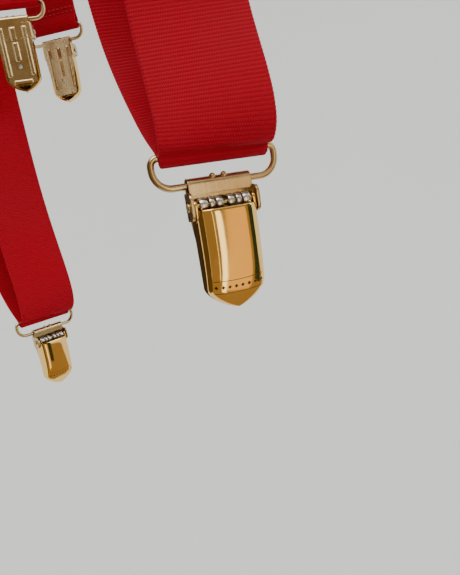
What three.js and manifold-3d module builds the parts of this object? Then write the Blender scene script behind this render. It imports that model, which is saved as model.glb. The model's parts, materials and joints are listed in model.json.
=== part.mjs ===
// Clip-on suspenders with an X-shaped back, hung over a round rail by their two shoulders.
// Millimetres, +Z up. The wearer's front is towards -Y and the wearer's left towards +X.
// The origin lies on the axis of the rail, half way between the two shoulders.

import * as THREE from 'three';
import { mergeVertices } from 'three/addons/utils/BufferGeometryUtils.js';
import Module from 'manifold-3d';

const wasm = await Module();
wasm.setup();

// ---- driving dimensions ------------------------------------------------------------------

const CLEARANCE = 0.3;            // gap between two pieces that rest on each other

// elastic webbing
const STRAP_WIDTH = 35;
const STRAP_THICKNESS = 1.5;

// the rail and how the straps hang from it
const RAIL_RADIUS = 16;
const SHOULDER_SPACING = 196;     // between the middles of the two front straps
const LEFT_FRONT_DROP = 500;      // rail axis down to the fold of each front strap
const RIGHT_FRONT_DROP = 571.5;
const TURN_BEFORE_RAIL = 50;      // strap length over which a strap turns towards the patch
const TURN_AFTER_RAIL = 60;
const LEFT_HEADING = 38.6;        // degrees from straight down, behind the rail
const RIGHT_HEADING = -1.8;

// where the four ends face, in degrees about +Z from facing the wearer's front
const LEFT_FRONT_FACING = 69.7;
const RIGHT_FRONT_FACING = 98;
const LEFT_BACK_FACING = 237.6;
const RIGHT_BACK_FACING = 220.6;

// folds of the two back ends
const LEFT_BACK_FOLD = new THREE.Vector3(-74.7, -3.2, -396);
const RIGHT_BACK_FOLD = new THREE.Vector3(-108.7, 35.2, -393.4);

// loop of webbing between the wire and the adjuster of a front strap
const LEFT_ADJUSTER_HEIGHT = 205; // adjuster centre above the fold of its strap
const RIGHT_ADJUSTER_HEIGHT = 300;
const ADJUSTER_RISE = 70;         // how far each adjuster can slide up from there
const FRONT_LOOP_LENGTH = 130;    // stretch over which the front ply bulges
const FRONT_BULGE = 10;
const RETURN_BULGE = 28;
const LOOP_TWIST = -13;           // degrees that the bulging front ply turns
const RETURN_SHIFT = -6;          // sideways drift of the return ply
const TWIST_CLEAR = 20;           // straight webbing left above the raised adjuster
const HEM_LENGTH = 38;            // sewn turn-back of the back ends
const END_TAB_LENGTH = 16;        // sewn turn-back of the return ply at the adjuster

// cross patch
const PATCH_LENGTH = 74;
const PATCH_WIDTH = 62;
const LEATHER_THICKNESS = 1.6;

// wire loop
const WIRE_RADIUS = 1;
const LOOP_SIDE_ROOM = 0.3;       // between the webbing's edge and the wire
const LOOP_HEIGHT = 8.5;          // between the middles of its two bars
const LOOP_TOP_CORNER = 2.2;
const LOOP_LOWER_CORNER = 5.2;

// clip
const SHEET = 0.8;                // brass sheet
const BRACKET_WIDTH = 18.8;
const FLAP_LENGTH = 2.8;
const BUMP_RADIUS = 1;
const BUMP_SPACING = 3.4;
const PIN_DROP = 5.85;            // lower wire bar down to the pivot pin
const PIN_FORWARD = 2.3;
const PIN_RADIUS = 0.8;
const PIN_HEAD_RADIUS = 1.25;
const PIN_HEAD_THICKNESS = 0.5;
const COVER_WIDTH = 18.2;
const COVER_DROP = 0.8;           // top edge of the cover below the pin axis
const COVER_LENGTH = 29.9;
const COVER_DEPTH = 4.7;          // front of the cover ahead of the pin axis
const COVER_SHOULDER_RISE = 0.5;  // from its top edge out to the flat front
const COVER_RIM_BACK = 3.3;       // edge of its side walls behind the pin axis
const COVER_SHOULDER_SHARE = 0.13;   // share of its length that curves back to the hinge
const COVER_END_SHARE = 0.23;     // share of its length that the blunt point takes
const COVER_TIP_FALL = 5;         // how much nearer to the cloth its tip comes
const EAR_HEIGHT = 7.6;
const EAR_NOSE = 2.6;             // front edge of an ear ahead of the pin axis
const EAR_ROUND = 2;
const PLATE_LENGTH = 26.9;        // pivot pin down to the lip of the back plate
const PLATE_LOWER_WIDTH = 15.5;
const PLATE_CORNER = 2.4;
const LIP_HEIGHT = 1.8;
const RIB_HEIGHT = 0.8;
const RIB_START = 4.25;           // lower wire bar down to the ribs
const RIB_INSET = 1.55;           // middle of a side rib inside the plate's lower edge
const SIDE_RIB_HALF = 1.2;
const MIDDLE_RIB_HALF = 1.6;
const RIB_GAP = 1.4;              // between the two lengths of the middle rib
const UPPER_RIB_LENGTH = 6.2;
const LOWER_RIB_LENGTH = 9.2;
const PLATE_HOLE_RADIUS = 1.2;
const PLATE_HOLE_UP = 8.9;        // hole above the lower end of the plate
const BARREL_RADIUS = 2.2;
const KNUCKLES = [[0.9, 1.7], [3.3, 1.4], [5.3, 2.2]];      // inner end and length, each side
const TOOTH_COUNT = 7;
const TOOTH_LENGTH = 1.3;
const PAD_WIDTH = 13;
const PAD_LENGTH = 11;
const PAD_THICKNESS = 1;

// adjuster
const ADJUSTER_LENGTH = 22;
const ADJUSTER_SHEET = 1;
const ADJUSTER_PIN_RADIUS = 0.9;
const ADJUSTER_BARREL_RADIUS = 1.85;
const LEVER_LENGTH = 15;
const END_BAR_RADIUS = 1;

// ---- values that follow ------------------------------------------------------------------

const WRAP_INNER_RADIUS = WIRE_RADIUS + 1.5 * CLEARANCE;
const WRAP_RADIUS = WRAP_INNER_RADIUS + STRAP_THICKNESS / 2;
const WRAP_CENTRE = WRAP_INNER_RADIUS + STRAP_THICKNESS;      // wire axis above the fold line
const HANG_RADIUS = RAIL_RADIUS + CLEARANCE + STRAP_THICKNESS / 2;
const LOOP_WIDTH = STRAP_WIDTH + 2 * LOOP_SIDE_ROOM + 4 * WIRE_RADIUS;
const LOWER_BAR = WRAP_CENTRE - LOOP_HEIGHT;
const PIN_HEIGHT = LOWER_BAR - PIN_DROP;
const PLATE_BOTTOM = PIN_HEIGHT - PLATE_LENGTH;
const PLATE_FRONT = WIRE_RADIUS + CLEARANCE;
const PLATE_BACK = PLATE_FRONT + SHEET;
const BARREL_HALF = Math.max(...KNUCKLES.map(([start, length]) => start + length));
const CHEEK_INNER = COVER_WIDTH / 2 - SHEET;
const EAR_INNER = COVER_WIDTH / 2 + CLEARANCE;
const EAR_OUTER = EAR_INNER + SHEET;
const PIN_BORE = PIN_RADIUS + CLEARANCE;
const STACK_STEP = STRAP_THICKNESS + CLEARANCE;

// ---- materials ---------------------------------------------------------------------------

const finish = (color, roughness, metalness) => ({ color, roughness, metalness });
const RED_WEBBING = finish(0xb3151b, 0.85, 0);
const GOLD = finish(0xd9a84e, 0.15, 1);
const SATIN_BRASS = finish(0xc9a467, 0.38, 1);
const STEEL = finish(0xb9b9b6, 0.3, 1);
const LEATHER = finish(0x4a2416, 0.6, 0);
const PAD_PLASTIC = finish(0xe8e4da, 0.5, 0);

// ---- geometry helpers --------------------------------------------------------------------

const vec = (x, y, z) => new THREE.Vector3(x, y, z);
const rad = THREE.MathUtils.degToRad;
const UP = vec(0, 0, 1);
const DOWN = vec(0, 0, -1);
const smooth = (t) => THREE.MathUtils.smoothstep(t, 0, 1);
const steps = (count) => Array.from({ length: count + 1 }, (_, i) => i / count);

/** A closed geometry as a solid that can be joined and cut. */
function toSolid(geometry) {
  const bare = geometry.clone();
  bare.deleteAttribute('normal');
  bare.deleteAttribute('uv');
  const merged = mergeVertices(bare, 1e-4);
  return new wasm.Manifold(new wasm.Mesh({
    numProp: 3,
    vertProperties: Float32Array.from(merged.attributes.position.array),
    triVerts: Uint32Array.from(merged.index.array),
  }));
}

function toGeometry(solid) {
  const mesh = solid.getMesh();
  const geometry = new THREE.BufferGeometry();
  geometry.setAttribute('position', new THREE.BufferAttribute(mesh.vertProperties, 3));
  geometry.setIndex(new THREE.BufferAttribute(mesh.triVerts, 1));
  return geometry;
}

function join(...geometries) {
  return toGeometry(geometries.map(toSolid).reduce((sum, solid) => sum.add(solid)));
}

function cut(geometry, ...tools) {
  return toGeometry(tools.map(toSolid).reduce((rest, tool) => rest.subtract(tool), toSolid(geometry)));
}

function common(first, second) {
  return toGeometry(toSolid(first).intersect(toSolid(second)));
}

/** Six times the signed volume of an indexed mesh. */
function signedVolume(points, triangles) {
  return triangles.reduce((sum, [a, b, c]) => (
    sum + points[a].dot(points[b].clone().cross(points[c]))
  ), 0);
}

/** A geometry from points and triangles, turned so that its faces point out. */
function closedMesh(points, triangles) {
  const inward = signedVolume(points, triangles) < 0;
  const turned = triangles.map(([a, b, c]) => (inward ? [a, c, b] : [a, b, c]));
  const geometry = new THREE.BufferGeometry().setFromPoints(points);
  geometry.setIndex(turned.flat());
  return geometry;
}

/** Joins rings of equal length one after the other, and closes the ends or the loop. */
function loft(rings, closedLoop = false) {
  const size = rings[0].length;
  const triangles = [];
  const last = closedLoop ? rings.length : rings.length - 1;
  for (let i = 0; i < last; i += 1) {
    const next = ((i + 1) % rings.length) * size;
    for (let j = 0; j < size; j += 1) {
      const k = (j + 1) % size;
      triangles.push([i * size + j, i * size + k, next + k]);
      triangles.push([i * size + j, next + k, next + j]);
    }
  }
  if (!closedLoop) {
    const end = (rings.length - 1) * size;
    for (let j = 1; j < size - 1; j += 1) {
      triangles.push([0, j + 1, j]);
      triangles.push([end, end + j, end + j + 1]);
    }
  }
  return closedMesh(rings.flat(), triangles);
}

/** A shell between two grids of points that share their layout, joined around the border. */
function shell(outer, inner) {
  const rows = outer.length;
  const columns = outer[0].length;
  const offset = rows * columns;
  const at = (i, j) => i * columns + j;
  const triangles = [];
  const quad = (a, b, c, d) => triangles.push([a, b, c], [a, c, d]);
  for (let i = 0; i < rows - 1; i += 1) {
    for (let j = 0; j < columns - 1; j += 1) {
      const corners = [at(i, j), at(i, j + 1), at(i + 1, j + 1), at(i + 1, j)];
      quad(...corners);
      quad(...corners.map((corner) => corner + offset).reverse());
    }
  }
  const border = [];
  for (let j = 0; j < columns - 1; j += 1) border.push(at(0, j));
  for (let i = 0; i < rows - 1; i += 1) border.push(at(i, columns - 1));
  for (let j = columns - 1; j > 0; j -= 1) border.push(at(rows - 1, j));
  for (let i = rows - 1; i > 0; i -= 1) border.push(at(i, 0));
  border.forEach((from, i) => {
    const to = border[(i + 1) % border.length];
    quad(to, from, from + offset, to + offset);
  });
  return closedMesh([...outer.flat(), ...inner.flat()], triangles);
}

/** A flat outline given in (across, up) and pushed along -Y from y = front to y = back. */
function plateAlongY(shape, front, back, curveSegments = 6) {
  const options = { depth: back - front, bevelEnabled: false, curveSegments };
  return new THREE.ExtrudeGeometry(shape, options).rotateX(Math.PI / 2).translate(0, back, 0);
}

/** An outline given in (depth, up) and extruded across, from x = left to x = right. */
function plateAlongX(shape, left, right, curveSegments = 5) {
  const options = { depth: right - left, bevelEnabled: false, curveSegments };
  const geometry = new THREE.ExtrudeGeometry(shape, options);
  const axes = new THREE.Matrix4().makeBasis(vec(0, 1, 0), vec(0, 0, 1), vec(1, 0, 0));
  return geometry.applyMatrix4(axes).translate(left, 0, 0);
}

function rod(radius, left, right, y, z, sides = 8) {
  const geometry = new THREE.CylinderGeometry(radius, radius, right - left, sides);
  return geometry.rotateZ(Math.PI / 2).translate((left + right) / 2, y, z);
}

function box(left, right, front, back, low, high) {
  const geometry = new THREE.BoxGeometry(right - left, back - front, high - low);
  return geometry.translate((left + right) / 2, (front + back) / 2, (low + high) / 2);
}

function roundHole(shape, x, y, radius) {
  const hole = new THREE.Path();
  hole.absarc(x, y, radius, 0, 2 * Math.PI, false);
  shape.holes.push(hole);
}

function node(name, geometry, look) {
  const mesh = new THREE.Mesh(geometry, new THREE.MeshStandardMaterial(look));
  mesh.name = name;
  return mesh;
}

// ---- webbing -----------------------------------------------------------------------------

/** A place along a strap: its middle, the direction it runs in and the way its face turns. */
function station(centre, along, facing) {
  const level = vec(Math.cos(facing), Math.sin(facing), 0);
  const across = level.addScaledVector(along, -level.dot(along)).normalize();
  return { centre, across, normal: along.clone().cross(across).normalize() };
}

/** Stations through a list of middles. Each runs as its neighbours do, or as its end must. */
function stationsThrough(middles, facings, firstAlong = null, lastAlong = null) {
  const last = middles.length - 1;
  return middles.map((centre, i) => {
    const chord = middles[Math.min(i + 1, last)].clone().sub(middles[Math.max(i - 1, 0)]);
    const fixed = (i === 0 && firstAlong) || (i === last && lastAlong);
    return station(centre, fixed || chord.normalize(), facings[i]);
  });
}

function ribbon(stations) {
  const half = STRAP_WIDTH / 2;
  const rise = STRAP_THICKNESS / 2;
  const corners = [[-half, -rise], [half, -rise], [half, rise], [-half, rise]];
  return loft(stations.map(({ centre, across, normal }) => corners.map(([u, v]) => (
    centre.clone().addScaledVector(across, u).addScaledVector(normal, v)
  ))));
}

/** The frame of a strap end: origin on the fold line, facing out of the strap's front. */
function endFrame(fold, facingDegrees) {
  const facing = rad(facingDegrees);
  const out = vec(Math.sin(facing), -Math.cos(facing), 0);
  const across = vec(Math.cos(facing), Math.sin(facing), 0);
  const at = (side, forward, up) => fold.clone()
    .addScaledVector(across, side).addScaledVector(out, forward).add(vec(0, 0, up));
  return { fold, facing, at };
}

/** Middles of the half turn round the wire's upper bar, from the front ply to the rear one. */
function wrapMiddles(frame) {
  return steps(8).map((t) => {
    const angle = Math.PI * t;
    return frame.at(0, WRAP_RADIUS * Math.cos(angle), WRAP_CENTRE - WRAP_RADIUS * Math.sin(angle));
  });
}

/** A hump that is 0 at both ends and 1 at t = rise / (rise + fall). */
function hump(t, rise, fall) {
  const peak = rise / (rise + fall);
  const value = (s) => s ** rise * (1 - s) ** fall;
  return value(t) / value(peak);
}

/** The stretch that twists, from the start of the turn over the rail to the straight part. */
function frontUpper(side, frame) {
  const top = -TURN_BEFORE_RAIL - CLEARANCE;
  const bottom = frame.fold.z + frame.straight + CLEARANCE;
  return ribbon(steps(14).map((t) => {
    const centre = vec(side * SHOULDER_SPACING / 2, -HANG_RADIUS, top + (bottom - top) * t);
    return station(centre, DOWN, frame.facing * smooth(t));
  }));
}

/** The straight stretch, the bulging front ply and the half turn round the wire. */
function frontLower(frame) {
  const middles = [frame.straight, FRONT_LOOP_LENGTH + 40].map((up) => frame.at(0, 0, up));
  const twists = [0, 0];
  const rise = FRONT_LOOP_LENGTH - WRAP_CENTRE;
  steps(14).forEach((s) => {
    const t = (1 - s) ** 1.6;
    const bulge = (FRONT_BULGE - WRAP_RADIUS) * hump(t, 0.5, 4);
    middles.push(frame.at(0, WRAP_RADIUS * (1 - t) + bulge, WRAP_CENTRE + rise * t));
    twists.push(rad(LOOP_TWIST) * hump(t, 0.6, 3));
  });
  const wrap = wrapMiddles(frame).slice(1);
  middles.push(...wrap);
  twists.push(...wrap.map(() => 0));
  const facings = twists.map((twist) => frame.facing + twist);
  return ribbon(stationsThrough(middles, facings, DOWN, UP));
}

/** The rear ply that climbs from the wire to the adjuster's end bar and is sewn round it. */
function returnPly(frame) {
  const endBar = { back: END_BAR.back, up: frame.adjusterUp - END_BAR.down };
  const endRadius = END_BAR_RADIUS + CLEARANCE + STRAP_THICKNESS / 2;
  const start = WRAP_CENTRE + 2 * CLEARANCE;
  const middles = steps(18).map((t) => {
    const slack = (RETURN_BULGE - WRAP_RADIUS) * hump(t, 0.8, 1.1);
    const inner = THREE.MathUtils.lerp(WRAP_RADIUS, endBar.back + endRadius, t);
    const side = RETURN_SHIFT * hump(t, 1.2, 1.6);
    return frame.at(side, -inner - slack, start + (endBar.up - start) * t);
  });
  steps(6).slice(1).forEach((t) => {
    const angle = Math.PI * t;
    const back = endBar.back + endRadius * Math.cos(angle);
    middles.push(frame.at(0, -back, endBar.up + endRadius * Math.sin(angle)));
  });
  const last = endBar.back - endRadius;
  middles.push(frame.at(0, -last, endBar.up - END_TAB_LENGTH));
  return ribbon(stationsThrough(middles, middles.map(() => frame.facing), UP, DOWN));
}

/** How far round the rail a strap has come: its place and its downhill direction. */
function overRail(travel) {
  const turn = THREE.MathUtils.clamp(travel / HANG_RADIUS, 0, Math.PI);
  const beyond = travel - turn * HANG_RADIUS;
  const along = vec(0, Math.sin(turn), Math.cos(turn));
  const place = vec(0, -HANG_RADIUS * Math.cos(turn), HANG_RADIUS * Math.sin(turn));
  return { place: place.addScaledVector(along, beyond), along };
}

/** The path of one strap over the rail: it turns from straight up to its heading behind. */
function shoulderPath(side, headingDegrees) {
  const turnLength = TURN_BEFORE_RAIL + Math.PI * HANG_RADIUS + TURN_AFTER_RAIL;
  const pieces = 40;
  const step = turnLength / pieces;
  const state = { x: side * SHOULDER_SPACING / 2, travel: -TURN_BEFORE_RAIL };
  return steps(pieces).map((t) => {
    const heading = rad(headingDegrees) * smooth(t);
    const { place, along } = overRail(state.travel);
    const here = { centre: place.setX(state.x), along, heading };
    state.x -= Math.sin(heading) * step;
    state.travel += Math.cos(heading) * step;
    return here;
  });
}

/** A station on the path over the rail, with its width square to its heading. */
function headedStation({ centre, along, heading }) {
  const direction = along.clone().multiplyScalar(Math.cos(heading)).setX(-Math.sin(heading));
  return station(centre, direction, 0);
}

/** Where the straight back stretches of the two straps cross, seen from behind. */
function crossing(leftEnd, rightEnd) {
  const slope = ({ heading }) => -Math.tan(heading);
  const fall = (leftEnd.centre.x - rightEnd.centre.x
    + slope(leftEnd) * leftEnd.centre.z - slope(rightEnd) * rightEnd.centre.z)
    / (slope(leftEnd) - slope(rightEnd));
  return vec(leftEnd.centre.x + slope(leftEnd) * (leftEnd.centre.z - fall), 0, fall);
}

/** The straight diagonal from the rail to the end of the patch. */
function backUpper(end, patch, layer) {
  const start = end.centre;
  const down = vec(-Math.sin(end.heading), 0, -Math.cos(end.heading));
  const reach = vec(patch.x - start.x, 0, patch.z - start.z).length();
  const length = reach + PATCH_LENGTH / 2;
  const middles = [CLEARANCE, reach / 3, reach - PATCH_LENGTH * 0.6, length].map((s, i) => {
    const lift = [0, 0, layer, layer][i];
    return start.clone().addScaledVector(down, s).add(vec(0, lift, 0));
  });
  return { middles, down, last: middles[3] };
}

/** The tail below the patch, which hangs, turns and is sewn round the wire loop. */
function backTail({ last, down }, frame) {
  const plyShift = STACK_STEP / 2;
  const top = WRAP_CENTRE + HEM_LENGTH;
  const reach = last.z - frame.fold.z;
  const hang = new THREE.CubicBezierCurve3(
    last.clone().addScaledVector(down, CLEARANCE),
    last.clone().addScaledVector(down, reach * 0.3),
    frame.at(0, plyShift, top + reach * 0.3),
    frame.at(0, plyShift, top),
  );
  const middles = hang.getPoints(16);
  const facings = steps(16).map((t) => (frame.facing - Math.PI) * smooth(t));
  const levelUp = WRAP_CENTRE + 3 * WRAP_RADIUS;
  middles.push(frame.at(0, plyShift, levelUp), ...wrapMiddles(frame));
  middles.push(frame.at(0, -plyShift, levelUp), frame.at(0, -plyShift, top));
  while (facings.length < middles.length) facings.push(frame.facing - Math.PI);
  return ribbon(stationsThrough(middles, facings, down, UP));
}

/** Half of the leather cross patch: a rounded lozenge that follows the two straps. */
function patchLeather(patch, tilt, front, back) {
  const shape = new THREE.Shape();
  const points = steps(28).slice(1).map((t) => {
    const angle = 2 * Math.PI * t;
    const power = (value) => Math.sign(value) * Math.abs(value) ** 1.25;
    return new THREE.Vector2(
      power(Math.cos(angle)) * PATCH_WIDTH / 2,
      power(Math.sin(angle)) * PATCH_LENGTH / 2,
    );
  });
  shape.setFromPoints(points);
  return plateAlongY(shape, front, back).rotateY(tilt).translate(patch.x, 0, patch.z);
}

// ---- clip, in the frame of its strap end: front towards -Y, fold line at height 0 ----------

/** The bent wire: two bars joined by a tight upper and a wide lower corner at each side. */
function wireLoop() {
  const half = LOOP_WIDTH / 2 - WIRE_RADIUS;
  const path = [];
  const corner = (x, z, radius, start, count) => steps(count).forEach((t) => {
    const angle = start + t * Math.PI / 2;
    path.push(vec(x + radius * Math.cos(angle), 0, z + radius * Math.sin(angle)));
  });
  const upper = WRAP_CENTRE - LOOP_TOP_CORNER;
  const lower = LOWER_BAR + LOOP_LOWER_CORNER;
  corner(half - LOOP_TOP_CORNER, upper, LOOP_TOP_CORNER, 0, 3);
  corner(-half + LOOP_TOP_CORNER, upper, LOOP_TOP_CORNER, Math.PI / 2, 3);
  corner(-half + LOOP_LOWER_CORNER, lower, LOOP_LOWER_CORNER, Math.PI, 4);
  corner(half - LOOP_LOWER_CORNER, lower, LOOP_LOWER_CORNER, 1.5 * Math.PI, 4);
  const rings = path.map((middle, i) => {
    const after = path[(i + 1) % path.length];
    const before = path[(i + path.length - 1) % path.length];
    const outward = after.clone().sub(before).normalize().cross(vec(0, 1, 0));
    return steps(8).slice(1).map((t) => middle.clone()
      .addScaledVector(outward, WIRE_RADIUS * Math.cos(2 * Math.PI * t))
      .add(vec(0, WIRE_RADIUS * Math.sin(2 * Math.PI * t), 0)));
  });
  return loft(rings, true);
}

/** Side view of the bracket and back plate: a flap, a curl over the wire and a straight sheet. */
function plateProfile() {
  const flapEnd = LOWER_BAR - FLAP_LENGTH;
  const shape = new THREE.Shape();
  shape.moveTo(-PLATE_BACK, flapEnd);
  shape.lineTo(-PLATE_FRONT, flapEnd);
  shape.lineTo(-PLATE_FRONT, LOWER_BAR);
  shape.absarc(0, LOWER_BAR, PLATE_FRONT, Math.PI, 0, true);
  shape.lineTo(PLATE_FRONT, PLATE_BOTTOM);
  shape.lineTo(PLATE_BACK, PLATE_BOTTOM);
  shape.lineTo(PLATE_BACK, LOWER_BAR);
  shape.absarc(0, LOWER_BAR, PLATE_BACK, 0, Math.PI, false);
  shape.closePath();
  return shape;
}

/** Front view of the back plate: square bracket, ears' root, tapering sides, round corners. */
function plateOutline() {
  const top = LOWER_BAR + 3;
  const earTop = PIN_HEIGHT + EAR_HEIGHT / 2;
  const earEnd = PIN_HEIGHT - EAR_HEIGHT / 2;
  const low = PLATE_LOWER_WIDTH / 2;
  const right = [
    [BRACKET_WIDTH / 2, top],
    [BRACKET_WIDTH / 2, earTop + SHEET],
    [EAR_OUTER, earTop],
    [EAR_OUTER, earEnd],
    [EAR_INNER, earEnd - SHEET],
    [low, PLATE_BOTTOM + PLATE_CORNER],
    [low - 0.3 * PLATE_CORNER, PLATE_BOTTOM + 0.3 * PLATE_CORNER],
    [low - PLATE_CORNER, PLATE_BOTTOM],
  ];
  const left = right.map(([x, z]) => [-x, z]).reverse();
  const outline = [...right, ...left].map(([x, z]) => new THREE.Vector2(x, z));
  const shape = new THREE.Shape(outline);
  roundHole(shape, 0, PLATE_BOTTOM + PLATE_HOLE_UP, PLATE_HOLE_RADIUS);
  return shape;
}

/** An ear of the back plate that carries the pivot pin, as its side view. */
function earOutline() {
  const low = PIN_HEIGHT - EAR_HEIGHT / 2;
  const high = PIN_HEIGHT + EAR_HEIGHT / 2;
  const middle = -PIN_FORWARD - EAR_NOSE + EAR_ROUND;
  const shape = new THREE.Shape();
  shape.moveTo(PLATE_BACK, low);
  shape.lineTo(PLATE_BACK, high);
  shape.absarc(middle, high - EAR_ROUND, EAR_ROUND, Math.PI / 2, Math.PI, false);
  shape.absarc(middle, low + EAR_ROUND, EAR_ROUND, Math.PI, 1.5 * Math.PI, false);
  shape.closePath();
  roundHole(shape, -PIN_FORWARD, PIN_HEIGHT, PIN_BORE);
  return shape;
}

/** A raised bead on the rear of the back plate, pointed like a roof along its length. */
function rib(x, halfWidth, low, high) {
  const shape = new THREE.Shape();
  shape.moveTo(x - halfWidth, PLATE_BACK - SHEET / 2);
  shape.lineTo(x + halfWidth, PLATE_BACK - SHEET / 2);
  shape.lineTo(x + halfWidth / 2, PLATE_BACK + RIB_HEIGHT);
  shape.lineTo(x - halfWidth / 2, PLATE_BACK + RIB_HEIGHT);
  shape.closePath();
  const geometry = new THREE.ExtrudeGeometry(shape, { depth: high - low, bevelEnabled: false });
  return geometry.translate(0, 0, low);
}

function backPlate() {
  const across = EAR_OUTER + 1;
  const sheet = common(
    plateAlongX(plateProfile(), -across, across),
    plateAlongY(plateOutline(), -10, 10),
  );
  const ears = [
    plateAlongX(earOutline(), EAR_INNER, EAR_OUTER),
    plateAlongX(earOutline(), -EAR_OUTER, -EAR_INNER),
  ];
  const bumps = [-1, 1].map((side) => (
    new THREE.SphereGeometry(BUMP_RADIUS, 8, 5)
      .translate(side * BUMP_SPACING / 2, -SHEET, LOWER_BAR + WIRE_RADIUS + SHEET)
  ));
  const wireWay = rod(WIRE_RADIUS + CLEARANCE, -BRACKET_WIDTH / 2, BRACKET_WIDTH / 2, 0, LOWER_BAR);
  const ribTop = LOWER_BAR - RIB_START;
  const ribEnd = PLATE_BOTTOM + PLATE_CORNER + LIP_HEIGHT;
  const lowerTop = ribTop - UPPER_RIB_LENGTH - RIB_GAP;
  const sideRib = PLATE_LOWER_WIDTH / 2 - RIB_INSET;
  const ribs = [
    rib(-sideRib, SIDE_RIB_HALF, ribEnd, ribTop),
    rib(sideRib, SIDE_RIB_HALF, ribEnd, ribTop),
    rib(0, MIDDLE_RIB_HALF, ribTop - UPPER_RIB_LENGTH, ribTop),
    rib(0, MIDDLE_RIB_HALF, lowerTop - LOWER_RIB_LENGTH, lowerTop),
  ];
  const lipHalf = PLATE_LOWER_WIDTH / 2 - PLATE_CORNER;
  const lipBack = PLATE_BACK + RIB_HEIGHT / 2;
  const lip = box(-lipHalf, lipHalf, PLATE_BACK - SHEET / 2, lipBack, PLATE_BOTTOM,
    PLATE_BOTTOM + LIP_HEIGHT);
  return cut(join(sheet, ...ears, ...bumps, ...ribs, lip), wireWay);
}

function pivotPin() {
  const inner = EAR_OUTER + CLEARANCE / 2;
  const head = inner + PIN_HEAD_THICKNESS;
  return join(
    rod(PIN_RADIUS, -inner - 0.1, inner + 0.1, -PIN_FORWARD, PIN_HEIGHT),
    rod(PIN_HEAD_RADIUS, inner, head, -PIN_FORWARD, PIN_HEIGHT),
    rod(PIN_HEAD_RADIUS, -head, -inner, -PIN_FORWARD, PIN_HEIGHT),
  );
}

/** Half width of the cover at a share v of its length: parallel sides, then a blunt point. */
function coverHalfWidth(v) {
  const intoEnd = THREE.MathUtils.clamp((v - 1 + COVER_END_SHARE) / COVER_END_SHARE, 0, 1);
  return COVER_WIDTH / 2 * (1 - (0.985 * intoEnd) ** 1.4) ** (1 / 1.4);
}

/** How far the cover's middle line stands ahead of the pin at a share v of its length. */
function coverFront(v) {
  const start = COVER_DEPTH - COVER_SHOULDER_RISE;
  const rise = Math.sqrt(1 - (1 - Math.min(v / COVER_SHOULDER_SHARE, 1)) ** 2);
  const below = (v - COVER_SHOULDER_SHARE) / (1 - COVER_SHOULDER_SHARE);
  const fall = COVER_TIP_FALL * Math.max(below, 0) ** 3;
  return THREE.MathUtils.lerp(start, COVER_DEPTH, rise) - fall;
}

/** One point of the cover, u across from -1 to 1 and v along, set in by an inset. */
function coverPoint(u, v, inset) {
  const top = PIN_HEIGHT - COVER_DROP;
  const angle = u * Math.PI / 2;
  const bend = (value, power) => Math.sign(value) * Math.abs(value) ** power;
  const half = coverHalfWidth(v) - inset;
  const tall = coverFront(v) + COVER_RIM_BACK - inset;
  const x = half * bend(Math.sin(angle), 0.4);
  const y = COVER_RIM_BACK - PIN_FORWARD - tall * bend(Math.cos(angle), 0.3);
  const endInset = inset * THREE.MathUtils.clamp((v - 0.8) / 0.2, 0, 1);
  return vec(x, y, top - COVER_LENGTH * v + endInset);
}

/** A cheek of the cover round the pivot pin, in side view. */
function cheekOutline() {
  const radius = PIN_BORE + SHEET;
  const reach = PIN_HEIGHT - 2.5 * radius;
  const shape = new THREE.Shape();
  shape.absarc(-PIN_FORWARD, PIN_HEIGHT, radius, 0, Math.PI, false);
  shape.lineTo(-PIN_FORWARD - radius, reach);
  shape.lineTo(-PIN_FORWARD + radius, reach);
  shape.closePath();
  roundHole(shape, -PIN_FORWARD, PIN_HEIGHT, PIN_BORE);
  return shape;
}

function coverLever() {
  const along = [0, 0.025, 0.07, 0.13, 0.4, 0.77, 0.84, 0.91, 0.96, 1];
  const across = steps(8).map((t) => 2 * t - 1);
  const grid = (inset) => along.map((v) => across.map((u) => coverPoint(u, v, inset)));
  return join(
    shell(grid(0), grid(SHEET)),
    plateAlongX(cheekOutline(), CHEEK_INNER, COVER_WIDTH / 2),
    plateAlongX(cheekOutline(), -COVER_WIDTH / 2, -CHEEK_INNER),
  );
}

/** The barrel and the toothed tongue that the cover presses on the cloth. */
function jawPlate() {
  const barrel = new THREE.Shape();
  barrel.absarc(-PIN_FORWARD, PIN_HEIGHT, BARREL_RADIUS, 0, 2 * Math.PI, false);
  roundHole(barrel, -PIN_FORWARD, PIN_HEIGHT, PIN_BORE);
  const knuckles = KNUCKLES.flatMap(([start, length]) => [
    plateAlongX(barrel, start, start + length),
    plateAlongX(barrel, -start - length, -start),
  ]);
  const tongueFront = -PIN_FORWARD - 0.1;
  const tongueBack = tongueFront + SHEET;
  const tongueEnd = PLATE_BOTTOM + 4;
  const half = BARREL_HALF - 0.4;
  const tongue = box(-half, half, tongueFront, tongueBack, tongueEnd, PIN_HEIGHT - 0.8 * BARREL_RADIUS);
  const padFront = PLATE_FRONT - CLEARANCE - PAD_THICKNESS;
  const toothTip = padFront - CLEARANCE;
  const pitch = 2 * half / TOOTH_COUNT;
  const tooth = new THREE.Shape();
  tooth.moveTo(-half, tongueBack - SHEET / 2);
  for (let i = 0; i < TOOTH_COUNT; i += 1) {
    tooth.lineTo(-half + (i + 0.5) * pitch, toothTip);
    if (i < TOOTH_COUNT - 1) tooth.lineTo(-half + (i + 1) * pitch, toothTip - TOOTH_LENGTH);
  }
  tooth.lineTo(half, tongueBack - SHEET / 2);
  tooth.closePath();
  const teeth = new THREE.ExtrudeGeometry(tooth, { depth: SHEET, bevelEnabled: false });
  return join(...knuckles, tongue, teeth.translate(0, 0, tongueEnd));
}

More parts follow.
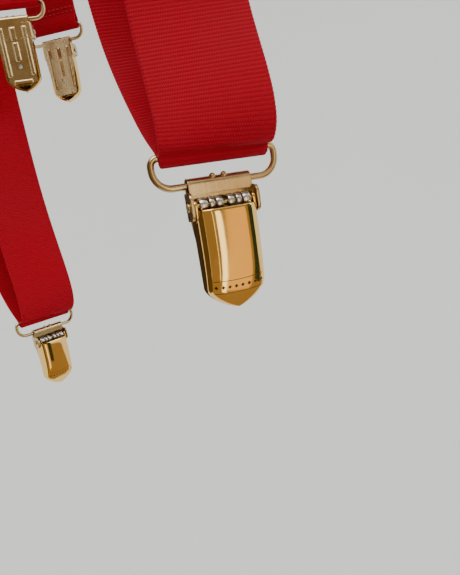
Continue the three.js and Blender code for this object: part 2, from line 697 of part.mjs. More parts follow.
/** The soft pad on the back plate that the teeth close on, with two cross grooves. */
function gripPad() {
  const low = PLATE_BOTTOM + 2.2;
  const back = PLATE_FRONT - CLEARANCE;
  const front = back - PAD_THICKNESS;
  const half = PAD_WIDTH / 2;
  const body = box(-half, half, front, back, low, low + PAD_LENGTH);
  const groove = (up) => box(-half - 1, half + 1, front - 1, front + 0.35, up, up + 0.7);
  return cut(body, groove(low + PAD_LENGTH / 3), groove(low + 2 * PAD_LENGTH / 3));
}

function clip(name, frame) {
  const group = new THREE.Group();
  group.add(
    node(`${name}_wire_loop`, wireLoop(), SATIN_BRASS),
    node(`${name}_back_plate`, backPlate(), SATIN_BRASS),
    node(`${name}_pivot_pin`, pivotPin(), STEEL),
    node(`${name}_grip_pad`, gripPad(), PAD_PLASTIC),
    node(`${name}_cover_lever`, coverLever(), GOLD),
    node(`${name}_jaw_plate`, jawPlate(), STEEL),
  );
  group.position.copy(frame.fold);
  group.rotation.z = frame.facing;
  return group;
}

// ---- adjuster, in its own frame: the strap passes through its middle -----------------------

const ADJUSTER_REAR = STRAP_THICKNESS / 2 + CLEARANCE;
const ADJUSTER_RAIL_INNER = STRAP_WIDTH / 2 + 2 * CLEARANCE;
const ADJUSTER_RAIL_OUTER = ADJUSTER_RAIL_INNER + ADJUSTER_SHEET;
const LEVER_PIN_FORWARD = ADJUSTER_BARREL_RADIUS + ADJUSTER_REAR;
const LEVER_PIN_UP = 6;
const END_BAR = {
  back: ADJUSTER_REAR + ADJUSTER_SHEET + CLEARANCE + STRAP_THICKNESS + CLEARANCE + END_BAR_RADIUS,
  down: 7,
};

/** Side rail of the adjuster frame: an ear for the lever pin and a lug for the end bar. */
function railOutline() {
  const half = ADJUSTER_LENGTH / 2;
  const shape = new THREE.Shape();
  const nose = -LEVER_PIN_FORWARD - 2.4;
  const tail = END_BAR.back + 1.6;
  const rear = ADJUSTER_REAR + ADJUSTER_SHEET;
  shape.moveTo(nose + 1.5, LEVER_PIN_UP - 4);
  shape.lineTo(ADJUSTER_REAR, -half);
  shape.lineTo(tail - 1, -half);
  shape.lineTo(tail, -half + 1);
  shape.lineTo(tail, -END_BAR.down + 2);
  shape.lineTo(rear, -END_BAR.down + 5);
  shape.lineTo(rear, half);
  shape.lineTo(nose + 2, half);
  shape.lineTo(nose, half - 2);
  shape.lineTo(nose, LEVER_PIN_UP - 2.5);
  shape.closePath();
  roundHole(shape, -LEVER_PIN_FORWARD, LEVER_PIN_UP, ADJUSTER_PIN_RADIUS + CLEARANCE);
  return shape;
}

function adjusterFrame() {
  const half = ADJUSTER_LENGTH / 2;
  const rear = ADJUSTER_REAR + ADJUSTER_SHEET;
  const plate = box(-ADJUSTER_RAIL_OUTER, ADJUSTER_RAIL_OUTER, ADJUSTER_REAR, rear, -half, half);
  return join(
    plate,
    plateAlongX(railOutline(), ADJUSTER_RAIL_INNER, ADJUSTER_RAIL_OUTER),
    plateAlongX(railOutline(), -ADJUSTER_RAIL_OUTER, -ADJUSTER_RAIL_INNER),
    rod(END_BAR_RADIUS, -ADJUSTER_RAIL_OUTER, ADJUSTER_RAIL_OUTER, END_BAR.back, -END_BAR.down),
  );
}

function adjusterPin() {
  const inner = ADJUSTER_RAIL_OUTER + CLEARANCE / 2;
  const head = inner + 0.6;
  const end = (left, right) => rod(1.5, left, right, -LEVER_PIN_FORWARD, LEVER_PIN_UP);
  return join(
    rod(ADJUSTER_PIN_RADIUS, -inner - 0.1, inner + 0.1, -LEVER_PIN_FORWARD, LEVER_PIN_UP),
    end(inner, head),
    end(-head, -inner),
  );
}

/** The locking lever: a barrel with biting ridges round the pin, and a plate hanging from it. */
function adjusterLever() {
  const half = STRAP_WIDTH / 2;
  const barrel = new THREE.Shape();
  const ridges = 10;
  const points = steps(2 * ridges).slice(1).map((t, i) => {
    const radius = ADJUSTER_BARREL_RADIUS - (i % 2) * 0.25;
    const angle = 2 * Math.PI * t;
    return new THREE.Vector2(
      -LEVER_PIN_FORWARD + radius * Math.cos(angle),
      LEVER_PIN_UP + radius * Math.sin(angle),
    );
  });
  barrel.setFromPoints(points);
  roundHole(barrel, -LEVER_PIN_FORWARD, LEVER_PIN_UP, ADJUSTER_PIN_RADIUS + CLEARANCE);
  const front = -LEVER_PIN_FORWARD - ADJUSTER_BARREL_RADIUS + 0.1;
  const back = front + ADJUSTER_SHEET - 0.3;
  const outline = new THREE.Shape();
  const low = LEVER_PIN_UP - LEVER_LENGTH;
  outline.moveTo(-half, LEVER_PIN_UP);
  outline.lineTo(-half, low + 3);
  outline.quadraticCurveTo(-half, low + 0.5, -half + 3, low);
  outline.quadraticCurveTo(0, low - 2.4, half - 3, low);
  outline.quadraticCurveTo(half, low + 0.5, half, low + 3);
  outline.lineTo(half, LEVER_PIN_UP);
  outline.closePath();
  return join(plateAlongX(barrel, -half, half), plateAlongY(outline, front, back, 5));
}

function adjuster(name, frame) {
  const group = new THREE.Group();
  group.add(
    node(`${name}_adjuster_frame`, adjusterFrame(), SATIN_BRASS),
    node(`${name}_adjuster_pin`, adjusterPin(), STEEL),
    node(`${name}_adjuster_lever`, adjusterLever(), GOLD),
  );
  group.position.copy(frame.fold).add(vec(0, 0, frame.adjusterUp));
  group.rotation.z = frame.facing;
  return group;
}

// ---- the whole object ----------------------------------------------------------------------

function frontEnd(side, drop, facing, adjusterUp) {
  const fold = vec(side * SHOULDER_SPACING / 2, -HANG_RADIUS, -drop);
  const straight = adjusterUp + ADJUSTER_RISE + TWIST_CLEAR;
  return { ...endFrame(fold, facing), adjusterUp, straight };
}

const leftFront = frontEnd(1, LEFT_FRONT_DROP, LEFT_FRONT_FACING, LEFT_ADJUSTER_HEIGHT);
const rightFront = frontEnd(-1, RIGHT_FRONT_DROP, RIGHT_FRONT_FACING, RIGHT_ADJUSTER_HEIGHT);
const leftBack = endFrame(LEFT_BACK_FOLD, LEFT_BACK_FACING);
const rightBack = endFrame(RIGHT_BACK_FOLD, RIGHT_BACK_FACING);

const leftShoulder = shoulderPath(1, LEFT_HEADING);
const rightShoulder = shoulderPath(-1, RIGHT_HEADING);
const patch = crossing(leftShoulder.at(-1), rightShoulder.at(-1));
const leftDiagonal = backUpper(leftShoulder.at(-1), patch, STACK_STEP);
const rightDiagonal = backUpper(rightShoulder.at(-1), patch, 0);

const everySecond = (list) => list.filter((_, i) => i % 2 === 0);
const shoulder = (path) => ribbon(everySecond(path).map(headedStation));
const diagonal = ({ middles, down }) => (
  ribbon(stationsThrough(middles, middles.map(() => 0), down, down))
);

const patchTilt = rad((LEFT_HEADING + RIGHT_HEADING) / 2);
const innerFront = HANG_RADIUS - STRAP_THICKNESS / 2 - CLEARANCE - LEATHER_THICKNESS;
const outerFront = HANG_RADIUS + STACK_STEP + STRAP_THICKNESS / 2 + CLEARANCE;
const leather = (front) => patchLeather(patch, patchTilt, front, front + LEATHER_THICKNESS);

const suspenders = new THREE.Group();
suspenders.add(
  node('left_strap_shoulder', shoulder(leftShoulder), RED_WEBBING),
  node('left_strap_front_twist', frontUpper(1, leftFront), RED_WEBBING),
  node('left_strap_front', frontLower(leftFront), RED_WEBBING),
  node('left_strap_return', returnPly(leftFront), RED_WEBBING),
  node('left_strap_diagonal', diagonal(leftDiagonal), RED_WEBBING),
  node('left_strap_tail', backTail(leftDiagonal, rightBack), RED_WEBBING),
  node('right_strap_shoulder', shoulder(rightShoulder), RED_WEBBING),
  node('right_strap_front_twist', frontUpper(-1, rightFront), RED_WEBBING),
  node('right_strap_front', frontLower(rightFront), RED_WEBBING),
  node('right_strap_return', returnPly(rightFront), RED_WEBBING),
  node('right_strap_diagonal', diagonal(rightDiagonal), RED_WEBBING),
  node('right_strap_tail', backTail(rightDiagonal, leftBack), RED_WEBBING),
  node('patch_inner_leather', leather(innerFront), LEATHER),
  node('patch_outer_leather', leather(outerFront), LEATHER),
  clip('front_left', leftFront),
  clip('front_right', rightFront),
  clip('back_left', leftBack),
  clip('back_right', rightBack),
  adjuster('left', leftFront),
  adjuster('right', rightFront),
);

export default suspenders;
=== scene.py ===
# %% [markdown]
# # Clip-on suspenders with a crossed back
# Two long bands of ribbed elastic webbing hang over a rail. Each of their four ends is folded
# round a bent wire, and a hinged clip with a domed gold cover hangs from each wire.
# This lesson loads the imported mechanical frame, then makes every visible piece as a surface
# worked out with numpy, and lets each one ride on the body that it belongs to.

import json
import math

import bmesh
import bpy
import numpy as np
from mathutils import Matrix, Vector


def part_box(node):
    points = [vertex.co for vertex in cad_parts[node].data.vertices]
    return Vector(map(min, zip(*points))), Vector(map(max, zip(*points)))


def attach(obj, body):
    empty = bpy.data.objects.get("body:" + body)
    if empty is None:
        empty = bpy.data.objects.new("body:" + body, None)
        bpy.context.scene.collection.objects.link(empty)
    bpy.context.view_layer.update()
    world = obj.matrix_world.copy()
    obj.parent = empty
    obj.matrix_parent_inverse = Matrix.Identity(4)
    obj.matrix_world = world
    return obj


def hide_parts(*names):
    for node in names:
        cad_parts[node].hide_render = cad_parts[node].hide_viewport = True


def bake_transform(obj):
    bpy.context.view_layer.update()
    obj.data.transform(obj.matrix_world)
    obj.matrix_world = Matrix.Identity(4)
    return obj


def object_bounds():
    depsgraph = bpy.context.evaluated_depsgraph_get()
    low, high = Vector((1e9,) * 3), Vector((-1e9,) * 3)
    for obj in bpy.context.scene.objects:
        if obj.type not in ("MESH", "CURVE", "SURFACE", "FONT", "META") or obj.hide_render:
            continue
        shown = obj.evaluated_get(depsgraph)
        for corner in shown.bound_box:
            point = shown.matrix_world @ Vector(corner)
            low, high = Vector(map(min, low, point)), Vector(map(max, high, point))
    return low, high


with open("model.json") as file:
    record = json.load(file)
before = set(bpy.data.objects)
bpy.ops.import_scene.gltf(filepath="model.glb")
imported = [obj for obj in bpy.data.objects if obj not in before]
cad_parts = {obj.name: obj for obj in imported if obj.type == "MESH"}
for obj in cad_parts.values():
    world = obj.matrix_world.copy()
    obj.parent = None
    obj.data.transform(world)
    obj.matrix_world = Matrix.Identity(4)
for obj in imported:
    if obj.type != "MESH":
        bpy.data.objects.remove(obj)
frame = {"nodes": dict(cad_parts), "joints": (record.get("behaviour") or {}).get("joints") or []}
CAD_BOX = [list(corner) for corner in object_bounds()]
MM = 0.001
print("frame loaded:", len(frame["nodes"]), "nodes, box", np.round(CAD_BOX, 3).tolist())

# %% [markdown]
# ## Where the clips are
# Every clip is the same piece, so it is drawn once in its own axes: x across the strap, y towards
# the wearer and z up, with zero at the fold line of the webbing. The hinge that lets the wire loop
# swing gives the place and the direction of those axes, and that keeps the scene true to the frame.

# %% The axes of each strap end
CLIPS = ("front_left", "front_right", "back_left", "back_right")
JOINTS = {joint["name"]: joint for joint in frame["joints"]}
UPPER_BAR = 2.95       # millimetres above the fold line
LOWER_BAR = -5.55
PIN_UP = -11.4
PIN_Y = -2.3
SHEET = 0.8


def end_axes(clip):
    """Origin on the fold line, and the three unit axes, of one strap end, in metres."""
    hinge = JOINTS[clip + "_loop_swing"]
    across = np.array(hinge["axis"], float)
    origin = np.array(hinge["pos_m"], float) - [0, 0, UPPER_BAR * MM]
    rear = np.array([-across[1], across[0], 0.0])
    return origin, across, rear


def placed(points, axes):
    """Points in an end's own millimetres as points of the row frame in metres."""
    origin, across, rear = axes
    points = np.asarray(points, float) * MM
    return (origin + points[..., :1] * across + points[..., 1:2] * rear
            + points[..., 2:] * np.array([0.0, 0.0, 1.0]))


AXES = {clip: end_axes(clip) for clip in CLIPS}
for clip, (origin, across, rear) in AXES.items():
    print(clip, "hangs at", np.round(origin, 4).tolist())

# %% [markdown]
# ## Camera
# The near clip is looked at from close by, a hand's breadth away and a little above it, so the
# other three ends are small and far behind. The camera leans to one side by a few degrees.

# %% Camera
CAMERA_FROM_CLIP = Vector((104.6, -84.6, -7.9)) * MM
CAMERA_AZIMUTH, CAMERA_PITCH, CAMERA_ROLL = (math.radians(a) for a in (51.6, 12.0, 9.0))
LENS = 28.8

azimuth, pitch = CAMERA_AZIMUTH, CAMERA_PITCH
forward = Vector((-math.sin(azimuth) * math.cos(pitch), math.cos(azimuth) * math.cos(pitch),
                  -math.sin(pitch)))
level_right = forward.cross(Vector((0, 0, 1))).normalized()
level_up = level_right.cross(forward)
right = level_right * math.cos(CAMERA_ROLL) - level_up * math.sin(CAMERA_ROLL)
up = level_up * math.cos(CAMERA_ROLL) + level_right * math.sin(CAMERA_ROLL)
camera = bpy.data.objects.new("camera", bpy.data.cameras.new("camera"))
bpy.context.scene.collection.objects.link(camera)
camera.matrix_world = Matrix((
    (*[right.x, up.x, -forward.x], 0), (*[right.y, up.y, -forward.y], 0),
    (*[right.z, up.z, -forward.z], 0), (0, 0, 0, 1)))
camera.location = Vector(AXES["front_left"][0]) + CAMERA_FROM_CLIP
camera.data.lens = LENS
camera.data.sensor_width = 36
camera.data.clip_start = 0.005
bpy.context.scene.camera = camera
print("camera at", np.round(camera.location, 4).tolist())

# %% [markdown]
# ## Meshes from grids
# Sheet metal, wire and webbing are all surfaces of two parameters, so one helper turns grids of
# points into quads, and a second one joins several such grids into one named object. Doing this
# on whole arrays is fast, and the shape stays readable as a formula.

# %% Grid helpers
def grid_quads(rows, columns, close_rows=False, close_columns=False):
    """Corner numbers of a grid's quads; a closed direction joins its last line to its first."""
    i = np.arange(rows if close_rows else rows - 1)[:, None]
    j = np.arange(columns if close_columns else columns - 1)[None, :]
    i_next, j_next = (i + 1) % rows, (j + 1) % columns
    corners = [i * columns + j, i * columns + j_next, i_next * columns + j_next,
               i_next * columns + j]
    return np.stack([np.broadcast_to(c, np.broadcast_shapes(i.shape, j.shape))
                     for c in corners], -1).reshape(-1, 4)


def sheet_part(grid):
    """An open grid of points as (points, faces)."""
    return grid.reshape(-1, 3), grid_quads(*grid.shape[:2]).tolist()


def tube_part(rings, loop=False):
    """Rings of points joined one after the other, with flat ends unless the tube is a loop."""
    rows, columns = rings.shape[:2]
    faces = grid_quads(rows, columns, close_rows=loop, close_columns=True).tolist()
    if not loop:
        faces.append(list(range(columns))[::-1])
        faces.append(list(range((rows - 1) * columns, rows * columns)))
    return rings.reshape(-1, 3), faces


def mesh_object(name, parts, uv=None):
    """One object from several (points, faces) parts. uv is one pair per point, when given."""
    points, faces, count = [], [], 0
    for part_points, part_faces in parts:
        points.append(part_points)
        faces.extend([[corner + count for corner in face] for face in part_faces])
        count += len(part_points)
    mesh = bpy.data.meshes.new(name)
    mesh.from_pydata(np.concatenate(points).tolist(), [], faces)
    if uv is not None:
        layer = mesh.uv_layers.new(name="UVMap")
        corner = np.empty(len(mesh.loops), np.int32)
        mesh.loops.foreach_get("vertex_index", corner)
        layer.data.foreach_set("uv", np.asarray(uv, np.float32)[corner].ravel())
    obj = bpy.data.objects.new(name, mesh)
    bpy.context.scene.collection.objects.link(obj)
    return obj


def turn_outward(obj):
    """Makes the faces of every closed part of a mesh point out."""
    work = bmesh.new()
    work.from_mesh(obj.data)
    bmesh.ops.recalc_face_normals(work, faces=work.faces)
    work.to_mesh(obj.data)
    work.free()


def settle(obj, sharp_degrees=40):
    """Applies the modifiers, and shades smooth except over edges sharper than the angle."""
    depsgraph = bpy.context.evaluated_depsgraph_get()
    final = bpy.data.meshes.new_from_object(obj.evaluated_get(depsgraph))
    obj.modifiers.clear()
    old, obj.data = obj.data, final
    final.name = old.name
    bpy.data.meshes.remove(old)
    final.shade_smooth()
    final.set_sharp_from_angle(angle=math.radians(sharp_degrees))
    return obj


def thicken(obj, thickness, offset=0.0, bevel=0.12):
    """Gives a sheet its thickness in millimetres and breaks its cut edges."""
    solidify = obj.modifiers.new("sheet", "SOLIDIFY")
    solidify.thickness = thickness * MM
    solidify.offset = offset
    solidify.use_even_offset = False
    if bevel:
        edge = obj.modifiers.new("edge", "BEVEL")
        edge.width = bevel * MM
        edge.segments = 2
        edge.limit_method = "ANGLE"
        edge.angle_limit = math.radians(55)
    return obj


def smooth(t):
    """Smooth step: 0 below 0, 1 above 1 and 3t^2 - 2t^3 between."""
    t = np.clip(t, 0, 1)
    return t * t * (3 - 2 * t)


print("helpers ready")

# %% [markdown]
# ## Finishes
# A finish is built from a few shared effects, each one a node group that puts out only values:
# smudges for the roughness of handled metal, hairline scratches, and the interlaced threads of a
# woven band. Every material then places the groups with its own numbers.

# %% Node helpers
def new_group(name, inputs, outputs):
    """A shader node group with float inputs and their defaults, and named float outputs."""
    group = bpy.data.node_groups.new(name, "ShaderNodeTree")
    for label, value in inputs.items():
        kind = "NodeSocketVector" if label == "Vector" else "NodeSocketFloat"
        made = group.interface.new_socket(label, in_out="INPUT", socket_type=kind)
        if value is not None:
            made.default_value = value
    for label in outputs:
        group.interface.new_socket(label, in_out="OUTPUT", socket_type="NodeSocketFloat")
    return group, group.nodes.new("NodeGroupInput"), group.nodes.new("NodeGroupOutput")


def add(tree, kind, settings=None, **links):
    """A node with plain settings, whose input sockets are linked from other sockets or set."""
    node = tree.nodes.new(kind)
    for key, value in (settings or {}).items():
        setattr(node, key, value)
    for label, value in links.items():
        index = int(label[1:]) if label[0] == "i" and label[1:].isdigit() else None
        socket = node.inputs[label.replace("_", " ")] if index is None else node.inputs[index]
        if isinstance(value, bpy.types.NodeSocket):
            tree.links.new(value, socket)
        else:
            socket.default_value = value
    return node


def maths(tree, operation, a, b=0.0, clamp=False):
    """One Math node; a and b are numbers or sockets."""
    settings = {"operation": operation, "use_clamp": clamp}
    return add(tree, "ShaderNodeMath", settings, i0=a, i1=b).outputs[0]


def ranged(tree, value, low, high, from_low=0.0, from_high=1.0):
    """A value carried from one range to another."""
    node = add(tree, "ShaderNodeMapRange", None, i0=value, i1=from_low, i2=from_high, i3=low,
               i4=high)
    return node.outputs[0]


# %% Shared effects
def smudge_group():
    """Cloudy variation: broad noise with a little fine noise, from 0 to 1."""
    group, source, result = new_group("smudges", {"Vector": None, "Size": 60.0}, ["Value"])
    vector, size = source.outputs["Vector"], source.outputs["Size"]
    broad = add(group, "ShaderNodeTexNoise", None, Vector=vector, Scale=size, Detail=3.0)
    fine_size = maths(group, "MULTIPLY", size, 7.0)
    fine = add(group, "ShaderNodeTexNoise", None, Vector=vector, Scale=fine_size, Detail=2.0)
    mixed = maths(group, "ADD", maths(group, "MULTIPLY", broad.outputs[0], 0.75),
                  maths(group, "MULTIPLY", fine.outputs[0], 0.25))
    group.links.new(ranged(group, mixed, 0.0, 1.0, 0.3, 0.7), result.inputs["Value"])
    return group


def scratch_group():
    """Hairlines: noise stretched along z, sharpened so that only its crests are left."""
    group, source, result = new_group("hairlines", {"Vector": None, "Fineness": 900.0}, ["Value"])
    stretch = add(group, "ShaderNodeMapping", None, Vector=source.outputs["Vector"])
    stretch.inputs["Scale"].default_value = (1.0, 1.0, 0.05)
    noise = add(group, "ShaderNodeTexNoise", None, Vector=stretch.outputs[0],
                Scale=source.outputs["Fineness"], Detail=2.0)
    group.links.new(ranged(group, noise.outputs[0], 0.0, 1.0, 0.35, 0.75), result.inputs["Value"])
    return group


def weave_group():
    """Threads of a woven band from its UV in metres: warp threads cross the ribs in brick order.

    Warp = |sin(pi * u / pitch)|; each rib shifts the threads by half a pitch.
    """
    inputs = {"Vector": None, "Thread pitch": 0.00045, "Rib pitch": 0.0011}
    group, source, result = new_group("woven threads", inputs, ["Height", "Groove"])
    parts = add(group, "ShaderNodeSeparateXYZ", None, Vector=source.outputs["Vector"])
    rib = maths(group, "DIVIDE", parts.outputs[1], source.outputs["Rib pitch"])
    row = maths(group, "FLOOR", rib)
    thread = maths(group, "DIVIDE", parts.outputs[0], source.outputs["Thread pitch"])
    shifted = maths(group, "ADD", thread, maths(group, "MULTIPLY", row, 0.5))
    swing = maths(group, "SINE", maths(group, "MULTIPLY", shifted, math.pi))
    wave = maths(group, "ABSOLUTE", swing)
    across_rib = maths(group, "SINE", maths(group, "MULTIPLY", maths(group, "FRACT", rib), math.pi))
    height = maths(group, "MULTIPLY", wave, across_rib)
    group.links.new(height, result.inputs["Height"])
    # Groove is 0 between ribs and 1 on their crests; the webbing uses it as the mask for painted
    # shade
    group.links.new(across_rib, result.inputs["Groove"])
    return group


def near_line(tree, value, half):
    """1 where a value is within half of zero, falling to 0 over a soft edge."""
    return ranged(tree, maths(tree, "ABSOLUTE", value), 1.0, 0.0, 0.7 * half, 1.3 * half)


def engraving_group():
    """Two arcs with a row of lozenges between them, from flat coordinates in metres.

    Bowed height = y - 9 x^2. An arc is where it is close to its own level, and a lozenge is where
    |offset along the row| + |offset from the row| is small.
    """
    inputs = {"Vector": None, "Level": -0.0352, "Spacing": 0.002, "Reach": 0.0076}
    group, source, result = new_group("engraving", inputs, ["Mask"])
    parts = add(group, "ShaderNodeSeparateXYZ", None, Vector=source.outputs["Vector"])
    x, y = parts.outputs[0], parts.outputs[1]
    bow = maths(group, "MULTIPLY", maths(group, "MULTIPLY", x, x), 9.0)
    height = maths(group, "SUBTRACT", maths(group, "SUBTRACT", y, bow), source.outputs["Level"])
    lines = [near_line(group, maths(group, "SUBTRACT", height, level), 0.0001)
             for level in (0.0019, -0.0019)]
    step = maths(group, "DIVIDE", x, source.outputs["Spacing"])
    across = maths(group, "SUBTRACT", maths(group, "FRACT", maths(group, "ADD", step, 100.0)), 0.5)
    across = maths(group, "MULTIPLY", maths(group, "ABSOLUTE", across), source.outputs["Spacing"])
    lozenge_sum = maths(group, "ADD", across, maths(group, "ABSOLUTE", height))
    lozenge_mask = near_line(group, lozenge_sum, 0.0006)
    both = maths(group, "MAXIMUM", maths(group, "MAXIMUM", lines[0], lines[1]), lozenge_mask)
    reach = maths(group, "LESS_THAN", maths(group, "ABSOLUTE", x), source.outputs["Reach"])
    group.links.new(maths(group, "MULTIPLY", both, reach), result.inputs["Mask"])
    return group


SMUDGES, HAIRLINES, THREADS = smudge_group(), scratch_group(), weave_group()
ENGRAVING = engraving_group()
print("effects:", SMUDGES.name, HAIRLINES.name, THREADS.name, ENGRAVING.name)


# %% Materials
def new_material(name):
    """A material with a Principled shader and Object coordinates ready to link."""
    material = bpy.data.materials.new(name)
    material.use_nodes = True
    tree = material.node_tree
    shader = tree.nodes["Principled BSDF"]
    coordinates = tree.nodes.new("ShaderNodeTexCoord")
    return material, tree, shader, coordinates


def place(tree, group, **values):
    """A group node with its inputs linked or set by name."""
    node = tree.nodes.new("ShaderNodeGroup")
    node.node_tree = group
    for label, value in values.items():
        socket = node.inputs[label.replace("_", " ")]
        if isinstance(value, bpy.types.NodeSocket):
            tree.links.new(value, socket)
        else:
            socket.default_value = value
    return node


def two_colours(tree, mask, first, second):
    """Mixes two plain colours by a mask from 0 to 1."""
    node = tree.nodes.new("ShaderNodeMix")
    node.data_type = "RGBA"
    tree.links.new(mask, node.inputs[0])
    node.inputs[6].default_value = (*first, 1)
    node.inputs[7].default_value = (*second, 1)
    return node.outputs[2]


def metal(name, colour, dark, roughness, hairline, fineness=900.0, smudge_size=60.0):
    """Plated metal: smudges vary its roughness and tint, hairlines lightly bump it."""
    material, tree, shader, coordinates = new_material(name)
    position = coordinates.outputs["Object"]
    clouds = place(tree, SMUDGES, Vector=position, Size=smudge_size).outputs[0]
    lines = place(tree, HAIRLINES, Vector=position, Fineness=fineness).outputs[0]
    tree.links.new(two_colours(tree, clouds, dark, colour), shader.inputs["Base Color"])
    tree.links.new(ranged(tree, clouds, *roughness), shader.inputs["Roughness"])
    bump = add(tree, "ShaderNodeBump", None, Strength=hairline, Distance=0.00002, Height=lines)
    tree.links.new(bump.outputs[0], shader.inputs["Normal"])
    shader.inputs["Metallic"].default_value = 1.0
    return material


def engraved_metal(name, *numbers):
    """Plated metal whose engraved marks are dark and dull."""
    material = metal(name, *numbers)
    tree = material.node_tree
    shader = tree.nodes["Principled BSDF"]
    coordinates = tree.nodes.new("ShaderNodeTexCoord")
    mask = place(tree, ENGRAVING, Vector=coordinates.outputs["UV"]).outputs[0]
    plain = shader.inputs["Base Color"].links[0].from_socket
    node = add(tree, "ShaderNodeMix", {"data_type": "RGBA"}, i0=mask, i6=plain,
               i7=(0.09, 0.045, 0.015, 1))
    tree.links.new(node.outputs[2], shader.inputs["Base Color"])
    rough = shader.inputs["Roughness"].links[0].from_socket
    tree.links.new(maths(tree, "ADD", rough, maths(tree, "MULTIPLY", mask, 0.4)),
                   shader.inputs["Roughness"])
    return material


def webbing_material():
    """Red elastic: painted shade darkens the grooves between ribs; single threads, a soft sheen."""
    material, tree, shader, coordinates = new_material("red webbing")
    threads = place(tree, THREADS, Vector=coordinates.outputs["UV"])
    clouds = place(tree, SMUDGES, Vector=coordinates.outputs["Object"], Size=35.0).outputs[0]
    # Painted shade: the colour falls from (0.31, 0, 0.009) on the rib crests to (0.2, 0, 0.005) in
    # the grooves, times a little random mottling
    groove = ranged(tree, threads.outputs["Groove"], 0.0, 1.0, 0.0, 0.55)
    shade_and_mottle = maths(tree, "MULTIPLY", groove, ranged(tree, clouds, 0.8, 1.0))
    colour = two_colours(tree, shade_and_mottle, (0.2, 0.0, 0.005), (0.31, 0.0, 0.009))
    tree.links.new(colour, shader.inputs["Base Color"])
    tree.links.new(ranged(tree, clouds, 0.72, 0.9), shader.inputs["Roughness"])
    bump = add(tree, "ShaderNodeBump", None, Strength=0.55, Distance=0.00012,
               Height=threads.outputs["Height"])
    tree.links.new(bump.outputs[0], shader.inputs["Normal"])
    shader.inputs["Specular IOR Level"].default_value = 0.12
    shader.inputs["Sheen Weight"].default_value = 0.03
    shader.inputs["Sheen Roughness"].default_value = 0.45
    shader.inputs["Sheen Tint"].default_value = (1.0, 0.25, 0.3, 1)
    return material


def leather_material():
    """Dark leather: cell grain in the bump, cloudy colour and roughness."""
    material, tree, shader, coordinates = new_material("dark leather")
    position = coordinates.outputs["Object"]
    clouds = place(tree, SMUDGES, Vector=position, Size=90.0).outputs[0]
    cells = add(tree, "ShaderNodeTexVoronoi", {"feature": "DISTANCE_TO_EDGE"}, Vector=position,
                Scale=950.0)
    colour = two_colours(tree, clouds, (0.055, 0.02, 0.011), (0.12, 0.045, 0.022))
    tree.links.new(colour, shader.inputs["Base Color"])
    tree.links.new(ranged(tree, clouds, 0.42, 0.62), shader.inputs["Roughness"])
    grain = ranged(tree, cells.outputs[0], 0.0, 1.0, 0.0, 0.18)
    bump = add(tree, "ShaderNodeBump", None, Strength=0.5, Distance=0.00015, Height=grain)
    tree.links.new(bump.outputs[0], shader.inputs["Normal"])
    return material


def thread_material(name, colour, dark):
    """Twisted sewing thread: diagonal strands in colour and bump; the darker colour between strands
    is painted shade.
    """
    material, tree, shader, coordinates = new_material(name)
    strands = add(tree, "ShaderNodeTexWave", None, Vector=coordinates.outputs["Object"],
                  Scale=900.0, Distortion=1.0)
    # Painted shade: the wave that raises each strand in the bump also darkens the colour in the
    # hollows between strands
    tree.links.new(two_colours(tree, strands.outputs["Fac"], dark, colour),
                   shader.inputs["Base Color"])
    bump = add(tree, "ShaderNodeBump", None, Strength=0.6, Distance=0.00005,
               Height=strands.outputs["Fac"])
    tree.links.new(bump.outputs[0], shader.inputs["Normal"])
    shader.inputs["Roughness"].default_value = 0.7
    return material


def pad_material():
    """Moulded plastic: faint mottling and a fine eroded surface."""
    material, tree, shader, coordinates = new_material("ivory pad")
    clouds = place(tree, SMUDGES, Vector=coordinates.outputs["Object"], Size=300.0).outputs[0]
    colour = two_colours(tree, clouds, (0.62, 0.58, 0.5), (0.74, 0.71, 0.63))
    tree.links.new(colour, shader.inputs["Base Color"])
    tree.links.new(ranged(tree, clouds, 0.38, 0.55), shader.inputs["Roughness"])
    bump = add(tree, "ShaderNodeBump", None, Strength=0.3, Distance=0.00004, Height=clouds)
    tree.links.new(bump.outputs[0], shader.inputs["Normal"])
    return material


GOLD = metal("mirror gold", (0.97, 0.64, 0.21), (0.9, 0.56, 0.17), (0.05, 0.12), 0.12)
ENGRAVED_GOLD = engraved_metal("engraved gold", (0.97, 0.64, 0.21), (0.9, 0.56, 0.17),
                               (0.05, 0.12), 0.12)
BRASS = metal("satin brass", (0.66, 0.5, 0.27), (0.5, 0.36, 0.18), (0.2, 0.34), 0.5, 1400.0)
STEEL = metal("bright steel", (0.78, 0.77, 0.74), (0.6, 0.59, 0.56), (0.16, 0.32), 0.4)
WEBBING = webbing_material()
LEATHER = leather_material()
RED_THREAD = thread_material("red thread", (0.5, 0.004, 0.015), (0.25, 0.0, 0.006))
TAN_THREAD = thread_material("tan thread", (0.5, 0.3, 0.14), (0.28, 0.15, 0.06))
PAD = pad_material()
print("materials:", len(bpy.data.materials))


# %% Handing a piece over to the frame
def hand_over(obj, material, body, nodes=()):
    """Gives a finished piece its material, its body and the CAD nodes it stands for."""
    obj.data.materials.clear()
    obj.data.materials.append(material)
    if body is not None:
        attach(obj, body)
    if nodes:
        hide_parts(*nodes)
    return obj


# %% [markdown]
# ## Webbing
# The frame holds each strap as a few plain ribbons laid end to end. Their corner points are the
# route of the real band, so the route is read back from them: starting at one end, each next set
# of four corners is one step along the strap. One continuous band is then swept along that route,
# with real ribs across it, because the ribs break up the light and make the edge look woven.

# %% Read the route of a strap from the frame
STRAP_WIDTH, STRAP_THICKNESS = 35.0, 1.5
CORNER_TRIANGLES = 6     # triangles that meet at a corner part-way along a ribbon


